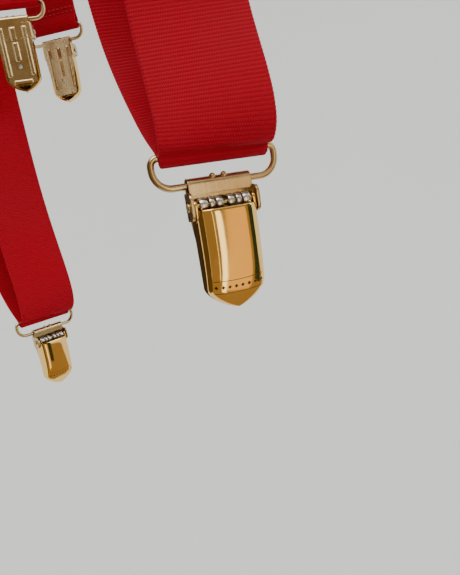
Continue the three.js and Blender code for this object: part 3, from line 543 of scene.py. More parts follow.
def ribbon_layers(node, near):
    """Sets of four corners along a CAD ribbon, from the end nearest to a point."""
    mesh = frame["nodes"][node].data
    raw = np.empty(len(mesh.vertices) * 3)
    mesh.vertices.foreach_get("co", raw)
    keys, number = np.unique(np.round(raw.reshape(-1, 3), 6), axis=0, return_inverse=True)
    number = number.ravel()
    triangles = np.array([[number[v] for v in face.vertices] for face in mesh.polygons])
    met = np.bincount(triangles.ravel(), minlength=len(keys))
    ends = np.flatnonzero(met < CORNER_TRIANGLES)
    first = ends[np.argsort(np.linalg.norm(keys[ends] - near, axis=1))[0]]
    cap = ends[np.argsort(np.linalg.norm(keys[ends] - keys[first], axis=1))[:4]]
    neighbours = {i: set() for i in range(len(keys))}
    for a, b, c in triangles:
        neighbours[a] |= {b, c}
        neighbours[b] |= {a, c}
        neighbours[c] |= {a, b}
    layers, seen, layer = [], set(), {int(i) for i in cap}
    while layer:
        layers.append(keys[sorted(layer)])
        seen |= layer
        layer = {int(n) for i in layer for n in neighbours[i]} - seen
    return layers


def route_through(nodes, near):
    """Middles and width directions along several ribbons laid end to end, in metres."""
    middles, widths = [], []
    for node in nodes:
        for corners in ribbon_layers(node, near):
            apart = np.linalg.norm(corners - corners[0], axis=1)
            partner = np.argsort(apart)[1]
            rest = [i for i in range(len(corners)) if i not in (0, partner)]
            wide = corners[rest].mean(0) - corners[[0, partner]].mean(0)
            wide /= np.linalg.norm(wide)
            if widths and wide @ widths[-1] < 0:
                wide = -wide
            middles.append(corners.mean(0))
            widths.append(wide)
        near = middles[-1]
    return np.array(middles), np.array(widths)


def along_route(middles, widths, step):
    """Middles, width directions and face directions every step metres, on a cubic through all."""
    length = np.concatenate([[0], np.cumsum(np.linalg.norm(np.diff(middles, axis=0), axis=1))])
    at = np.linspace(0, length[-1], int(length[-1] / step) + 1)
    i = np.clip(np.searchsorted(length, at, side="right") - 1, 0, len(length) - 2)
    span = (length[i + 1] - length[i])[:, None]
    t = ((at - length[i])[:, None]) / span

    def cubic(values):
        slope = np.gradient(values, length, axis=0)
        a, b, c, d = values[i], slope[i] * span, values[i + 1], slope[i + 1] * span
        return ((2 * t**3 - 3 * t**2 + 1) * a + (t**3 - 2 * t**2 + t) * b
                + (3 * t**2 - 2 * t**3) * c + (t**3 - t**2) * d)

    middle, width = cubic(middles), cubic(widths)
    run = np.gradient(middle, axis=0)
    run /= np.linalg.norm(run, axis=1)[:, None]
    width -= run * (width * run).sum(1)[:, None]
    width /= np.linalg.norm(width, axis=1)[:, None]
    return at, middle, width, np.cross(run, width)


# %% Sweep the ribbed band
RIB_PITCH = 1.1
RIB_DEPTH = 0.08
STEPS_PER_RIB = 4


SEEN_WIDTH = 33.0        # the band draws in a little where it is stretched


def band_profile(across_count=6, edge_count=4):
    """A flat oval: two straight faces joined by half circles, as offsets across and out."""
    rise = STRAP_THICKNESS / 2
    flat = np.linspace(-1, 1, across_count) * (SEEN_WIDTH / 2 - rise)
    turn = np.linspace(np.pi / 2, -np.pi / 2, edge_count + 2)[1:-1]
    edge_u = SEEN_WIDTH / 2 - rise + rise * np.cos(turn)
    u = np.concatenate([flat, edge_u, flat[::-1], -edge_u])
    v = np.concatenate([np.full(across_count, rise), rise * np.sin(turn),
                        np.full(across_count, -rise), -rise * np.sin(turn)])
    return u, v


BOW_DEPTH = 8.0          # how far the near front strap bows back above its clip
BOW_RISE, BOW_FALL, BOW_END = 0.05, 0.075, 0.13      # metres along the strap
FOLD_DRAW, FOLD_REACH = 0.045, 7.0      # share drawn in at a fold, and over how many millimetres
RIB_DRAW = 0.007         # share that the edges are drawn in between ribs


def bow(at):
    """Offset towards the wearer along a front strap: up over 5 cm, down from 7.5 to 13 cm."""
    fall = smooth((at - BOW_FALL) / (BOW_END - BOW_FALL))
    return BOW_DEPTH * MM * smooth(at / BOW_RISE) * (1 - fall)


def band(name, nodes, near):
    """A woven band: the flat oval carried along a route, thinner between ribs.

    Point = middle + u * width + v * face, with v scaled by 1 - depth * (1 - |sin|) and the
    edges drawn in a little between ribs.
    """
    middles, widths = route_through(nodes, near)
    at, middle, width, face = along_route(middles, widths, RIB_PITCH * MM / STEPS_PER_RIB)
    if name.startswith("left"):
        middle = middle + bow(at)[:, None] * AXES["front_left"][2]
    u, v = band_profile()
    crest = np.abs(np.sin(np.pi * at / (RIB_PITCH * MM)))[:, None]
    rise = 1 - RIB_DEPTH * 2 / STRAP_THICKNESS * (1 - crest**0.7)
    near_fold = np.exp(-(np.minimum(at, at[-1] - at) / (FOLD_REACH * MM)) ** 2)[:, None]
    drawn = 1 - RIB_DRAW * (1 - crest) - FOLD_DRAW * near_fold
    rings = (middle[:, None] + (u * MM * drawn)[..., None] * width[:, None]
             + (v * MM * rise)[..., None] * face[:, None])
    uv = np.stack(np.broadcast_arrays(u * MM, at[:, None]), -1).reshape(-1, 2)
    piece = mesh_object(name, [tube_part(rings)], uv)
    turn_outward(piece)
    settle(piece, 75)
    print(name, "is", round(float(at[-1]), 3), "m long with", len(piece.data.polygons), "faces")
    return piece, float(at[-1])


def strap_nodes(side, *parts):
    return [f"{side}_strap_{part}" for part in parts]


LONG_PARTS = ("front", "front_twist", "shoulder", "diagonal", "tail")
for side in ("left", "right"):
    start = AXES[f"front_{side}"][0] + [0, 0, UPPER_BAR * MM]
    long_band, length = band(f"{side}_webbing", strap_nodes(side, *LONG_PARTS), start)
    hand_over(long_band, WEBBING, "webbing", strap_nodes(side, *LONG_PARTS))
    short_band, length = band(f"{side}_return_webbing", strap_nodes(side, "return"), start)
    hand_over(short_band, WEBBING, None, strap_nodes(side, "return"))
    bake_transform(short_band)

# %% [markdown]
# ## Wire loop
# The loop is one length of round wire bent to a flat ring: tight corners above, wide ones below.
# A circle carried along the closed path is all that it needs.

# %% Wire loop
WIRE_RADIUS = 1.0
LOOP_WIDTH = 38.8
TOP_CORNER, LOWER_CORNER = 2.2, 5.2


def loop_path():
    """The ring's middle line as (x, z): four straight runs joined by four quarter circles."""
    half = LOOP_WIDTH / 2 - WIRE_RADIUS
    corners = [(half - TOP_CORNER, UPPER_BAR - TOP_CORNER, TOP_CORNER, 0),
               (TOP_CORNER - half, UPPER_BAR - TOP_CORNER, TOP_CORNER, 1),
               (LOWER_CORNER - half, LOWER_BAR + LOWER_CORNER, LOWER_CORNER, 2),
               (half - LOWER_CORNER, LOWER_BAR + LOWER_CORNER, LOWER_CORNER, 3)]
    turn = np.linspace(0, np.pi / 2, 13)
    return np.concatenate([
        np.stack([x + r * np.cos(turn + q * np.pi / 2), z + r * np.sin(turn + q * np.pi / 2)], 1)
        for x, z, r, q in corners])


def wire_rings(path, radius, sides=20):
    """Circles square to a closed path in the x-z plane."""
    run = np.roll(path, -1, 0) - np.roll(path, 1, 0)
    run /= np.linalg.norm(run, axis=1)[:, None]
    out = np.stack([run[:, 1], -run[:, 0]], 1)
    turn = np.linspace(0, 2 * np.pi, sides, endpoint=False)
    flat = path[:, None] + radius * np.cos(turn)[None, :, None] * out[:, None]
    depth = np.broadcast_to(radius * np.sin(turn), flat.shape[:2])
    return np.stack([flat[..., 0], depth, flat[..., 1]], -1)


def wire_loop(clip):
    rings = placed(wire_rings(loop_path(), WIRE_RADIUS), AXES[clip])
    piece = mesh_object(f"{clip}_loop_wire", [tube_part(rings, loop=True)])
    turn_outward(piece)
    settle(piece)
    return hand_over(piece, BRASS, f"{clip}_loop", [f"{clip}_wire_loop"])


for clip in CLIPS:
    wire_loop(clip)
print("wire loops done")

# %% [markdown]
# ## Back plate
# Bracket, ears and back are stamped from one sheet. The sheet is drawn flat first: its length runs
# from the front flap over the curl and down the back, and its width changes along it. Two bends
# then shape it: the side view curls it round the wire, and the ears fold forward at both sides.
# Raised beads, the stepped lip and the round hole are pressed in at the end.

# %% Back plate
CURL = 1.7
FLAP_END = -8.35
PLATE_END = -38.3
PLATE_CORNER = 2.4
BRACKET_HALF = 9.4
EAR_X = 9.8
EAR_BEND = 0.6
EAR_TOP, EAR_LOW = -7.6, -15.2
EAR_NOSE = -4.9
HOLE = (0.0, -29.4, 1.15)
BEAD_HEIGHT = 0.75
BEADS = ((-6.2, 0.85, -34.1, -9.8), (6.2, 0.85, -34.1, -9.8),
         (0.0, 1.25, -16.0, -9.8), (0.0, 1.25, -26.6, -17.4))
BACK_START = 9.0       # along the flat sheet, past the flap and the curl


def side_view(share):
    """Depth and height of the sheet's middle at a share of its length, flap first."""
    turn = np.linspace(np.pi, 0, 25)
    curl = np.stack([CURL * np.cos(turn), LOWER_BAR + CURL * np.sin(turn)], 1)
    line = np.concatenate([[[-CURL, FLAP_END]], curl, [[CURL, PLATE_END]]])
    run = np.concatenate([[0], np.cumsum(np.linalg.norm(np.diff(line, axis=0), axis=1))])
    at = share * run[-1]
    return np.interp(at, run, line[:, 0]), np.interp(at, run, line[:, 1]), at


def flat_half_width(depth, height, at):
    """Half of the flat sheet's width: bracket, ears unfolded, tapering back, rounded end."""
    flat_ear = EAR_X - EAR_BEND + EAR_BEND * np.pi / 2
    middle = (EAR_TOP + EAR_LOW) / 2
    off = np.clip(np.abs(height - middle) - ((EAR_TOP - EAR_LOW) / 2 - 2.2), 0, 2.2)
    nose = EAR_NOSE + 2.2 - np.sqrt(2.2**2 - off**2)
    ear = flat_ear + depth - EAR_BEND - nose
    bracket = BRACKET_HALF - 0.5 * np.clip(1 - at / 0.8, 0, 1) ** 2
    taper = 9.3 - 1.55 * np.clip((EAR_LOW - height) / 20, 0, 1)
    into_end = np.clip((PLATE_END + PLATE_CORNER - height) / PLATE_CORNER, 0, 1)
    lower = taper - PLATE_CORNER * (1 - np.sqrt(1 - into_end**2))
    on_back = at > BACK_START
    is_ear = on_back & (height < EAR_TOP) & (height > EAR_LOW)
    return np.where(is_ear, ear, np.where(on_back & (height <= EAR_LOW), lower, bracket))


def pressed(x, z):
    """Height of the beads and the lip on the rear face."""
    raised = np.zeros_like(x)
    for centre, half, low, high in BEADS:
        along = smooth((z - low) / 0.9 + 0.5) * smooth((high - z) / 0.9 + 0.5)
        raised = np.maximum(raised, BEAD_HEIGHT * along * np.exp(-((x - centre) / half) ** 4))
    lip = smooth((PLATE_END + 1.9 - z) / 0.5) * smooth((5.0 - np.abs(x)) / 0.5)
    return np.maximum(raised, 0.6 * lip)


def back_plate_grid(rows=190, columns=73):
    """The sheet's middle surface. A flat width beyond the ear line turns forward by 90 degrees."""
    share = np.linspace(0, 1, rows)
    depth, height, at = side_view(share)
    half = flat_half_width(depth, height, at)
    u = np.linspace(-1, 1, columns)
    flat = u[None] * half[:, None]
    depth, height, at = (np.broadcast_to(a[:, None], flat.shape) for a in (depth, height, at))
    start = EAR_X - EAR_BEND
    beyond = np.clip(np.abs(flat) - start, 0, None) * (at > BACK_START)
    turn = np.clip(beyond / EAR_BEND, 0, np.pi / 2)
    straight = np.clip(beyond - EAR_BEND * np.pi / 2, 0, None)
    plain = np.where(beyond > 0, start, np.abs(flat))
    x = np.sign(flat) * (plain + EAR_BEND * np.sin(turn))
    y = depth - EAR_BEND * (1 - np.cos(turn)) - straight
    arch = 0.3 * (1 - u[None] ** 2) * np.clip(1 - at / 3, 0, 1)
    y = y + pressed(x, height) * (at > BACK_START) * (beyond == 0)
    return np.stack([x, y, height + arch], -1)


def punch(grid, hole):
    """Faces of a grid without those in a round hole, whose rim points are moved onto its circle."""
    x, z, radius = hole
    points, faces = sheet_part(grid)
    corners = points[np.array(faces)]
    inside = (np.hypot(corners[..., 0] - x, corners[..., 2] - z) < radius).all(1)
    back = corners[..., 1].mean(1) > 0
    gone = inside & back
    kept = [face for face, drop in zip(faces, gone) if not drop]
    rim = np.intersect1d(np.unique(np.array(faces)[gone]), np.unique(np.array(kept)))
    reach = np.hypot(points[rim, 0] - x, points[rim, 2] - z)
    points[rim, 0] = x + (points[rim, 0] - x) * radius / reach
    points[rim, 2] = z + (points[rim, 2] - z) * radius / reach
    used = np.unique(np.array(kept))
    renumber = np.zeros(len(points), int)
    renumber[used] = np.arange(len(used))
    return points[used], renumber[np.array(kept)].tolist()


def ball_part(centre, radius, squash=1.0, rings=12, sides=20):
    """A closed ball, flattened along y by squash."""
    polar = np.linspace(0.02, np.pi - 0.02, rings)[:, None]
    turn = np.linspace(0, 2 * np.pi, sides, endpoint=False)[None]
    shape = np.stack([np.sin(polar) * np.cos(turn), squash * np.cos(polar) + 0 * turn,
                      np.sin(polar) * np.sin(turn)], -1)
    return tube_part(np.array(centre) + radius * shape)


def back_plate(clip):
    points, faces = punch(back_plate_grid(), HOLE)
    plate = mesh_object(f"{clip}_plate", [(placed(points, AXES[clip]), faces)])
    settle(thicken(plate, SHEET, bevel=0.1))
    bumps = mesh_object(f"{clip}_bracket_bumps", [
        (placed(part, AXES[clip]), ball_faces)
        for part, ball_faces in (ball_part((side * 1.7, -0.8, -3.75), 1.0) for side in (-1, 1))])
    turn_outward(bumps)
    settle(bumps)
    hand_over(bumps, BRASS, f"{clip}_clip")
    return hand_over(plate, BRASS, f"{clip}_clip", [f"{clip}_back_plate"])


for clip in CLIPS:
    plate = back_plate(clip)
print("back plates done:", len(plate.data.polygons), "faces each")

# %% [markdown]
# ## Pivot pin, jaw and pad
# Turned pieces are a profile spun round an axis: the pin with its riveted heads, and the six
# knuckles of the jaw. The jaw's tongue is a sheet that ends in a row of teeth bent towards the pad.

# %% Turned pieces
def spun(profile, y, z, sides=28):
    """A profile of (x, radius) spun round an axis along x through (y, z)."""
    profile = np.asarray(profile, float)
    turn = np.linspace(0, 2 * np.pi, sides, endpoint=False)[None]
    x, radius = profile[:, :1], profile[:, 1:]
    return np.stack([x + 0 * turn, y + radius * np.cos(turn), z + radius * np.sin(turn)], -1)


def domed_pin(half, shaft, head, dome):
    """Profile of a pin: two domed heads joined by a shaft."""
    arc = np.linspace(0.03, np.pi / 2, 8)
    cap = np.stack([half + dome * np.cos(arc), head * np.sin(arc)], 1)
    right_side = np.concatenate([[[half - 0.25, shaft]], [[half - 0.25, head]], cap[::-1]])
    left_side = right_side[::-1] * [-1, 1]
    return np.concatenate([left_side, right_side])


def knuckle_profile(left, right, radius, bore=1.1, edge=0.15):
    """A short barrel with rounded rims and a bore, as a closed ring of (x, radius)."""
    return [(left, bore), (left, radius - edge), (left + edge * 0.3, radius - edge * 0.3),
            (left + edge, radius), (right - edge, radius),
            (right - edge * 0.3, radius - edge * 0.3), (right, radius - edge), (right, bore)]


BARREL_RADIUS = 2.2
KNUCKLES = ((0.9, 1.7), (3.3, 1.4), (5.3, 2.2))
TONGUE_HALF = 7.1
TONGUE_Y = -2.0
TONGUE_END = -33.9
TEETH = 7
TOOTH_TIP = -0.35


def tongue_grid(columns=71):
    """The jaw's sheet: it comes off the barrel, runs down and turns in to a zigzag of teeth."""
    across = np.linspace(-1, 1, columns)
    saw = np.abs((across * TEETH / 2 + 0.5 * (TEETH % 2)) % 1 - 0.5) * 2
    down = np.linspace(PIN_UP - 1.9, TONGUE_END + 0.6, 40)
    straight = np.stack(np.broadcast_arrays(across[None] * TONGUE_HALF,
                                            TONGUE_Y + 0 * down[:, None], down[:, None]), -1)
    bend = np.linspace(0, np.pi / 2, 6)[1:, None]
    corner = np.stack(np.broadcast_arrays(across[None] * TONGUE_HALF,
                                          TONGUE_Y + 0.6 * (1 - np.cos(bend)),
                                          TONGUE_END + 0.6 - 0.6 * np.sin(bend)), -1)
    reach = np.linspace(0, 1, 5)[1:, None]
    tip = TONGUE_Y + 0.6 + reach * (TOOTH_TIP - TONGUE_Y - 0.6) * (0.15 + 0.85 * saw[None])
    teeth = np.stack(np.broadcast_arrays(across[None] * TONGUE_HALF, tip, TONGUE_END + 0 * tip), -1)
    return np.concatenate([straight, corner, teeth])


def jaw(clip):
    parts = [tube_part(placed(spun(knuckle_profile(side * start if side > 0 else -start - length,
                                                   side * start + length if side > 0 else -start,
                                                   BARREL_RADIUS), PIN_Y, PIN_UP), AXES[clip]),
                       loop=True)
             for start, length in KNUCKLES for side in (-1, 1)]
    barrel = mesh_object(f"{clip}_jaw_knuckles", parts)
    turn_outward(barrel)
    settle(barrel, 30)
    tongue = mesh_object(f"{clip}_jaw_tongue", [sheet_part(placed(tongue_grid(), AXES[clip]))])
    settle(thicken(tongue, SHEET * 0.9, bevel=0.08))
    hand_over(tongue, STEEL, f"{clip}_jaw")
    return hand_over(barrel, STEEL, f"{clip}_jaw", [f"{clip}_jaw_plate"])


def pivot_pin(clip):
    rings = placed(spun(domed_pin(10.6, 0.8, 1.25, 0.45), PIN_Y, PIN_UP), AXES[clip])
    piece = mesh_object(f"{clip}_pin", [tube_part(rings)])
    turn_outward(piece)
    settle(piece, 50)
    return hand_over(piece, BRASS, f"{clip}_clip", [f"{clip}_pivot_pin"])


def softened(name, node, bevel):
    """A copy of a CAD node with its flat faces merged and its edges broken by a bevel."""
    mesh = frame["nodes"][node].data.copy()
    piece = bpy.data.objects.new(name, mesh)
    bpy.context.scene.collection.objects.link(piece)
    work = bmesh.new()
    work.from_mesh(mesh)
    bmesh.ops.remove_doubles(work, verts=work.verts, dist=0.01 * MM)
    bmesh.ops.dissolve_limit(work, angle_limit=math.radians(2), verts=work.verts,
                             edges=work.edges)
    bmesh.ops.recalc_face_normals(work, faces=work.faces)
    work.to_mesh(mesh)
    work.free()
    edge = piece.modifiers.new("edge", "BEVEL")
    edge.width = bevel * MM
    edge.segments = 3
    edge.limit_method = "ANGLE"
    edge.angle_limit = math.radians(40)
    return settle(piece, 35)


for clip in CLIPS:
    jaw(clip)
    pivot_pin(clip)
    pad = softened(f"{clip}_pad", f"{clip}_grip_pad", 0.12)
    hand_over(pad, PAD, f"{clip}_clip", [f"{clip}_grip_pad"])
print("pins, jaws and pads done")

# %% [markdown]
# ## Cover
# The cover is drawn from one sheet into a deep tray: parallel sides, a blunt point and a shoulder
# that curves back to the hinge. Its mirror plate shows every ripple of the surface, so the grid is
# fine and evenly spaced. Two engraved lines and a row of small lozenges near the end take the
# place of any lettering; they are worked out in the material from the flat coordinates.

# %% Cover
COVER_WIDTH, COVER_LENGTH = 18.2, 29.5
COVER_TOP = PIN_UP - 1.2
COVER_DEPTH, COVER_RIM_BACK = 4.7, 3.3
SHOULDER_SHARE, SHOULDER_RISE = 0.13, 0.5
END_SHARE = 0.23
TIP_FALL = 5.0
END_POWER = 1.55        # 2 would be an ellipse, 1 a straight-sided point
SIDE_POWER, FRONT_POWER = 0.5, 0.42


def cover_half_width(v):
    """Half width at a share v of the length: constant, then a blunt superellipse."""
    into = np.clip((v - (1 - END_SHARE)) / END_SHARE, 0, 1)
    return COVER_WIDTH / 2 * (1 - (0.995 * into) ** END_POWER) ** (1 / END_POWER)


def cover_front(v):
    """How far the middle line stands out from the pin: a quarter circle, then a cubic fall."""
    rise = np.sqrt(1 - (1 - np.minimum(v / SHOULDER_SHARE, 1)) ** 2)
    below = np.maximum((v - SHOULDER_SHARE) / (1 - SHOULDER_SHARE), 0)
    return COVER_DEPTH - SHOULDER_RISE * (1 - rise) - TIP_FALL * below**3


def cover_grid(columns=121):
    """Tray cross-sections x = half * sin(a)^p, y = rim - tall * cos(a)^q at equal arc steps."""
    v = np.concatenate([np.linspace(0, SHOULDER_SHARE, 16)[:-1],
                        np.linspace(SHOULDER_SHARE, 1 - END_SHARE, 40)[:-1],
                        1 - END_SHARE * (1 - np.linspace(0, 1, 44)) ** 1.4])
    angle = np.linspace(-np.pi / 2, np.pi / 2, 1601)
    side = np.sign(angle) * np.abs(np.sin(angle)) ** SIDE_POWER
    tall = np.abs(np.cos(angle)) ** FRONT_POWER
    rows = []
    for share in v:
        x = cover_half_width(share) * side
        y = PIN_Y + COVER_RIM_BACK - (cover_front(share) + COVER_RIM_BACK) * tall
        run = np.concatenate([[0], np.cumsum(np.hypot(np.diff(x), np.diff(y)))])
        even = np.linspace(0, run[-1], columns)
        rows.append(np.stack([np.interp(even, run, x), np.interp(even, run, y)], 1))
    flat = np.array(rows)
    z = np.broadcast_to((COVER_TOP - COVER_LENGTH * v)[:, None], flat.shape[:2])
    return np.stack([flat[..., 0], flat[..., 1], z], -1)[:, ::-1]


def cheek_grid(side, rows=14, columns=28):
    """A flat ear of the cover round the pin, as rings from the pin's bore to the outline."""
    turn = np.linspace(0, 2 * np.pi, columns, endpoint=False)
    low = np.clip(-np.sin(turn), 0, 1)
    reach = 1.9 + 2.85 * low**3
    share = np.linspace(0, 1, rows)[:, None]
    radius = 1.1 + (reach[None] - 1.1) * share
    y = PIN_Y + radius * np.cos(turn)[None]
    z = PIN_UP + radius * np.sin(turn)[None]
    x = np.full_like(y, side * (COVER_WIDTH / 2 - SHEET / 2))
    return np.stack([x, y, z], -1)


def cover(clip):
    grid = cover_grid()
    flat = grid[..., [0, 2]].reshape(-1, 2) * MM
    shell = mesh_object(f"{clip}_cover", [sheet_part(placed(grid, AXES[clip]))], flat)
    thicken(shell, SHEET, offset=-1.0, bevel=0)
    settle(shell, 50)
    cheeks = []
    for side in (-1, 1):
        grid = placed(cheek_grid(side), AXES[clip])
        rows, columns = grid.shape[:2]
        cheeks.append((grid.reshape(-1, 3),
                       grid_quads(rows, columns, close_columns=True).tolist()))
    ears = mesh_object(f"{clip}_cover_cheeks", cheeks)
    settle(thicken(ears, SHEET * 0.9, bevel=0.08))
    hand_over(ears, GOLD, f"{clip}_cover")
    return hand_over(shell, ENGRAVED_GOLD, f"{clip}_cover",
                     [f"{clip}_cover_lever"])


for clip in CLIPS:
    piece = cover(clip)
print("covers done:", len(piece.data.polygons), "faces each")

# %% [markdown]
# ## Adjusters
# The adjuster is a bent frame, a pin and a lever. The frame keeps the frame's own outline with its
# edges broken, the pin is spun with domed heads, and the lever gets a gently domed face with a sunk
# border.

# %% Adjusters
LEVER_PIN = (-2.9, 6.0)
LEVER_TOP, LEVER_LENGTH = 6.5, 15.0
LEVER_Y = -4.3
BARREL_HALF, FLUTED_HALF = 17.4, 17.2
BARREL_END_RADIUS, FLUTED_RADIUS = 1.5, 1.72
FLUTES, FLUTE_DEPTH = 12, 0.12


def adjuster_up(side):
    """Height of an adjuster's middle above its fold line, in millimetres."""
    hinge = JOINTS[f"{side}_lever_hinge"]["pos_m"]
    return (hinge[2] - AXES[f"front_{side}"][0][2]) / MM - LEVER_PIN[1]


def lever_grid(middle_up, rows=60, columns=81):
    """A plate that bows out in the middle, with a groove inside its edge and a curved lower end."""
    u = np.linspace(-1, 1, columns)[None]
    v = np.linspace(0, 1, rows)[:, None]
    end = LEVER_LENGTH + 2.0 * (1 - np.abs(u) ** 2.5) - 1.2 * smooth((np.abs(u) - 0.86) / 0.14)
    x = STRAP_WIDTH / 2 * u + 0 * v
    z = middle_up + LEVER_TOP - end * v
    bow = 0.8 * (1 - u**2) * np.sin(np.pi * np.clip(v, 0, 1)) ** 0.7
    border = np.minimum(np.minimum(1 - np.abs(u), 2 * v * 0.6), 2 * (1 - v) * 0.6)
    groove = 0.22 * np.exp(-((border - 0.12) / 0.03) ** 2)
    y = LEVER_Y - bow + groove
    return np.stack([x, y, z], -1)[:, ::-1]


def barrel_part(side_axes, middle_up):
    """The lever's barrel: a fluted roller round its pin."""
    turn = np.linspace(0, 2 * np.pi, 60, endpoint=False)[None]
    x = np.array([-BARREL_HALF, -FLUTED_HALF, FLUTED_HALF, BARREL_HALF])[:, None]
    radius = np.array([BARREL_END_RADIUS, FLUTED_RADIUS, FLUTED_RADIUS, BARREL_END_RADIUS])
    radius = radius[:, None] + FLUTE_DEPTH * np.cos(FLUTES * turn)
    rings = np.stack([x + 0 * turn, LEVER_PIN[0] + radius * np.cos(turn),
                      middle_up + LEVER_PIN[1] + radius * np.sin(turn)], -1)
    return tube_part(placed(rings, side_axes))


for side in ("left", "right"):
    axes, middle_up = AXES[f"front_{side}"], adjuster_up(side)
    body = softened(f"{side}_adjuster_body", f"{side}_adjuster_frame", 0.2)
    hand_over(body, BRASS, f"{side}_adjuster", [f"{side}_adjuster_frame"])
    pin_rings = spun(domed_pin(19.4, 0.9, 1.5, 0.65), LEVER_PIN[0], middle_up + LEVER_PIN[1])
    pin = mesh_object(f"{side}_adjuster_rivet", [tube_part(placed(pin_rings, axes))])
    turn_outward(pin)
    hand_over(settle(pin, 50), STEEL, f"{side}_adjuster", [f"{side}_adjuster_pin"])
    plate = mesh_object(f"{side}_lever_plate", [sheet_part(placed(lever_grid(middle_up), axes))])
    settle(thicken(plate, 0.7, offset=-1.0, bevel=0.12))
    hand_over(plate, GOLD, f"{side}_lever", [f"{side}_adjuster_lever"])
    barrel = mesh_object(f"{side}_lever_barrel", [barrel_part(axes, middle_up)])
    turn_outward(barrel)
    hand_over(settle(barrel, 50), STEEL, f"{side}_lever")
print("adjusters done")

# %% [markdown]
# ## Cross patch
# Two rounded lozenges of leather hold the straps where they cross. The outer one is drawn as rings
# from its middle to its rim, swelling a little over the crossed webbing, and a row of stitches
# follows the rim. Each stitch is a small capsule.

# %% Cross patch
PATCH_MARGIN = 4.0
STITCH_LENGTH, STITCH_GAP, STITCH_RADIUS = 2.2, 1.2, 0.32


def lozenge(turn, length, width):
    """Outline of the patch: powers of sine and cosine give a lozenge with rounded corners."""
    def power(value):
        return np.sign(value) * np.abs(value) ** 1.25
    return np.stack([power(np.cos(turn)) * width / 2, power(np.sin(turn)) * length / 2], -1)


def patch_frame():
    """Middle of the patch and the depths of its two leather faces, from the corners of the two
    leather nodes.
    """
    low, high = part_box("patch_outer_leather")
    inner_low, inner_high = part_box("patch_inner_leather")
    return (low + high) / 2, low.y, high.y, inner_low.y, inner_high.y


PATCH_MIDDLE, OUTER_NEAR, OUTER_FAR, INNER_NEAR, INNER_FAR = patch_frame()
PATCH_TILT = math.radians(18.4)
PATCH_LENGTH, PATCH_WIDTH = 74.0, 62.0


def on_patch(flat, y):
    """Flat patch coordinates in millimetres, turned by the tilt and set at depth y in metres."""
    x = PATCH_MIDDLE.x + (flat[..., 0] * math.cos(PATCH_TILT)
                          + flat[..., 1] * math.sin(PATCH_TILT)) * MM
    z = PATCH_MIDDLE.z + (-flat[..., 0] * math.sin(PATCH_TILT)
                          + flat[..., 1] * math.cos(PATCH_TILT)) * MM
    return np.stack([x, np.broadcast_to(y, x.shape), z], -1)


def leather_half(name, near, far, swell, node):
    """A closed lens of leather: rings out from the middle on one face and back on the other."""
    turn = np.linspace(0, 2 * np.pi, 160, endpoint=False)
    rim = lozenge(turn, PATCH_LENGTH, PATCH_WIDTH)
    share = np.linspace(0.002, 1, 40)
    edge = 0.45 * (1 - np.sqrt(np.clip(1 - np.clip((share - 0.97) / 0.03, 0, 1) ** 2, 0, 1)))
    out_face = np.stack([on_patch(rim * s, far + swell * (1 - s**4) * MM - e * MM)
                         for s, e in zip(share, edge)])
    in_face = np.stack([on_patch(rim * s, near + e * MM)
                        for s, e in zip(share[::-1], edge[::-1])])
    piece = mesh_object(name, [tube_part(np.concatenate([out_face, in_face]))])
    turn_outward(piece)
    settle(piece, 60)
    return hand_over(piece, LEATHER, "webbing", [node])


def capsules(name, starts, ends, radius, sides=6):
    """Short round-ended rods between pairs of points, all in one mesh."""
    run = ends - starts
    length = np.linalg.norm(run, axis=1)[:, None]
    run = run / length
    helper = np.where(np.abs(run[:, 2:]) > 0.9, [[1.0, 0, 0]], [[0, 0, 1.0]])
    first = np.cross(run, helper)
    first /= np.linalg.norm(first, axis=1)[:, None]
    second = np.cross(run, first)
    turn = np.linspace(0, 2 * np.pi, sides, endpoint=False)
    circle = (np.cos(turn)[None, :, None] * first[:, None]
              + np.sin(turn)[None, :, None] * second[:, None])
    stages = [(0.0, 0.25), (0.12, 0.8), (0.3, 1.0), (0.7, 1.0), (0.88, 0.8), (1.0, 0.25)]
    rings = np.stack([(starts + run * length * t)[:, None] + circle * radius * r
                      for t, r in stages], 1)
    piece = mesh_object(name, [tube_part(one) for one in rings])
    turn_outward(piece)
    return settle(piece, 60)


leather_half("patch_front_leather", OUTER_NEAR, OUTER_FAR, 0.6, "patch_outer_leather")
leather_half("patch_lining_leather", INNER_NEAR, INNER_FAR, 0.0, "patch_inner_leather")


def rim_stitches(name, y):
    """Stitches at equal steps along the rim, inside it by the margin."""
    turn = np.linspace(0, 2 * np.pi, 721)
    rim = lozenge(turn, PATCH_LENGTH - 2 * PATCH_MARGIN, PATCH_WIDTH - 2 * PATCH_MARGIN)
    run = np.concatenate([[0], np.cumsum(np.linalg.norm(np.diff(rim, axis=0), axis=1))])
    count = int(run[-1] / (STITCH_LENGTH + STITCH_GAP))
    begin = np.arange(count) * run[-1] / count
    ends = []
    for at in (begin, begin + STITCH_LENGTH):
        flat = np.stack([np.interp(at, run, rim[:, 0]), np.interp(at, run, rim[:, 1])], 1)
        ends.append(on_patch(flat, y))
    piece = capsules(name, ends[0], ends[1], STITCH_RADIUS * MM)
    return hand_over(piece, TAN_THREAD, "webbing")


rim_stitches("patch_front_stitches", OUTER_FAR + 0.35 * MM)
rim_stitches("patch_lining_stitches", INNER_NEAR - 0.05 * MM)
print("patch done")

# %% [markdown]
# ## Sewn ends
# The back ends are folded round their wire and sewn down: two rows of stitches cross the webbing.

# %% Hem stitches
HEM_ROWS = (10.0, 12.5, 35.0, 37.5)
HEM_COUNT, HEM_HALF = 11, 14.5
HEM_FACE = 1.75         # outer faces of the two plies, either side of the middle
HEM_STITCH_HALF = 0.9


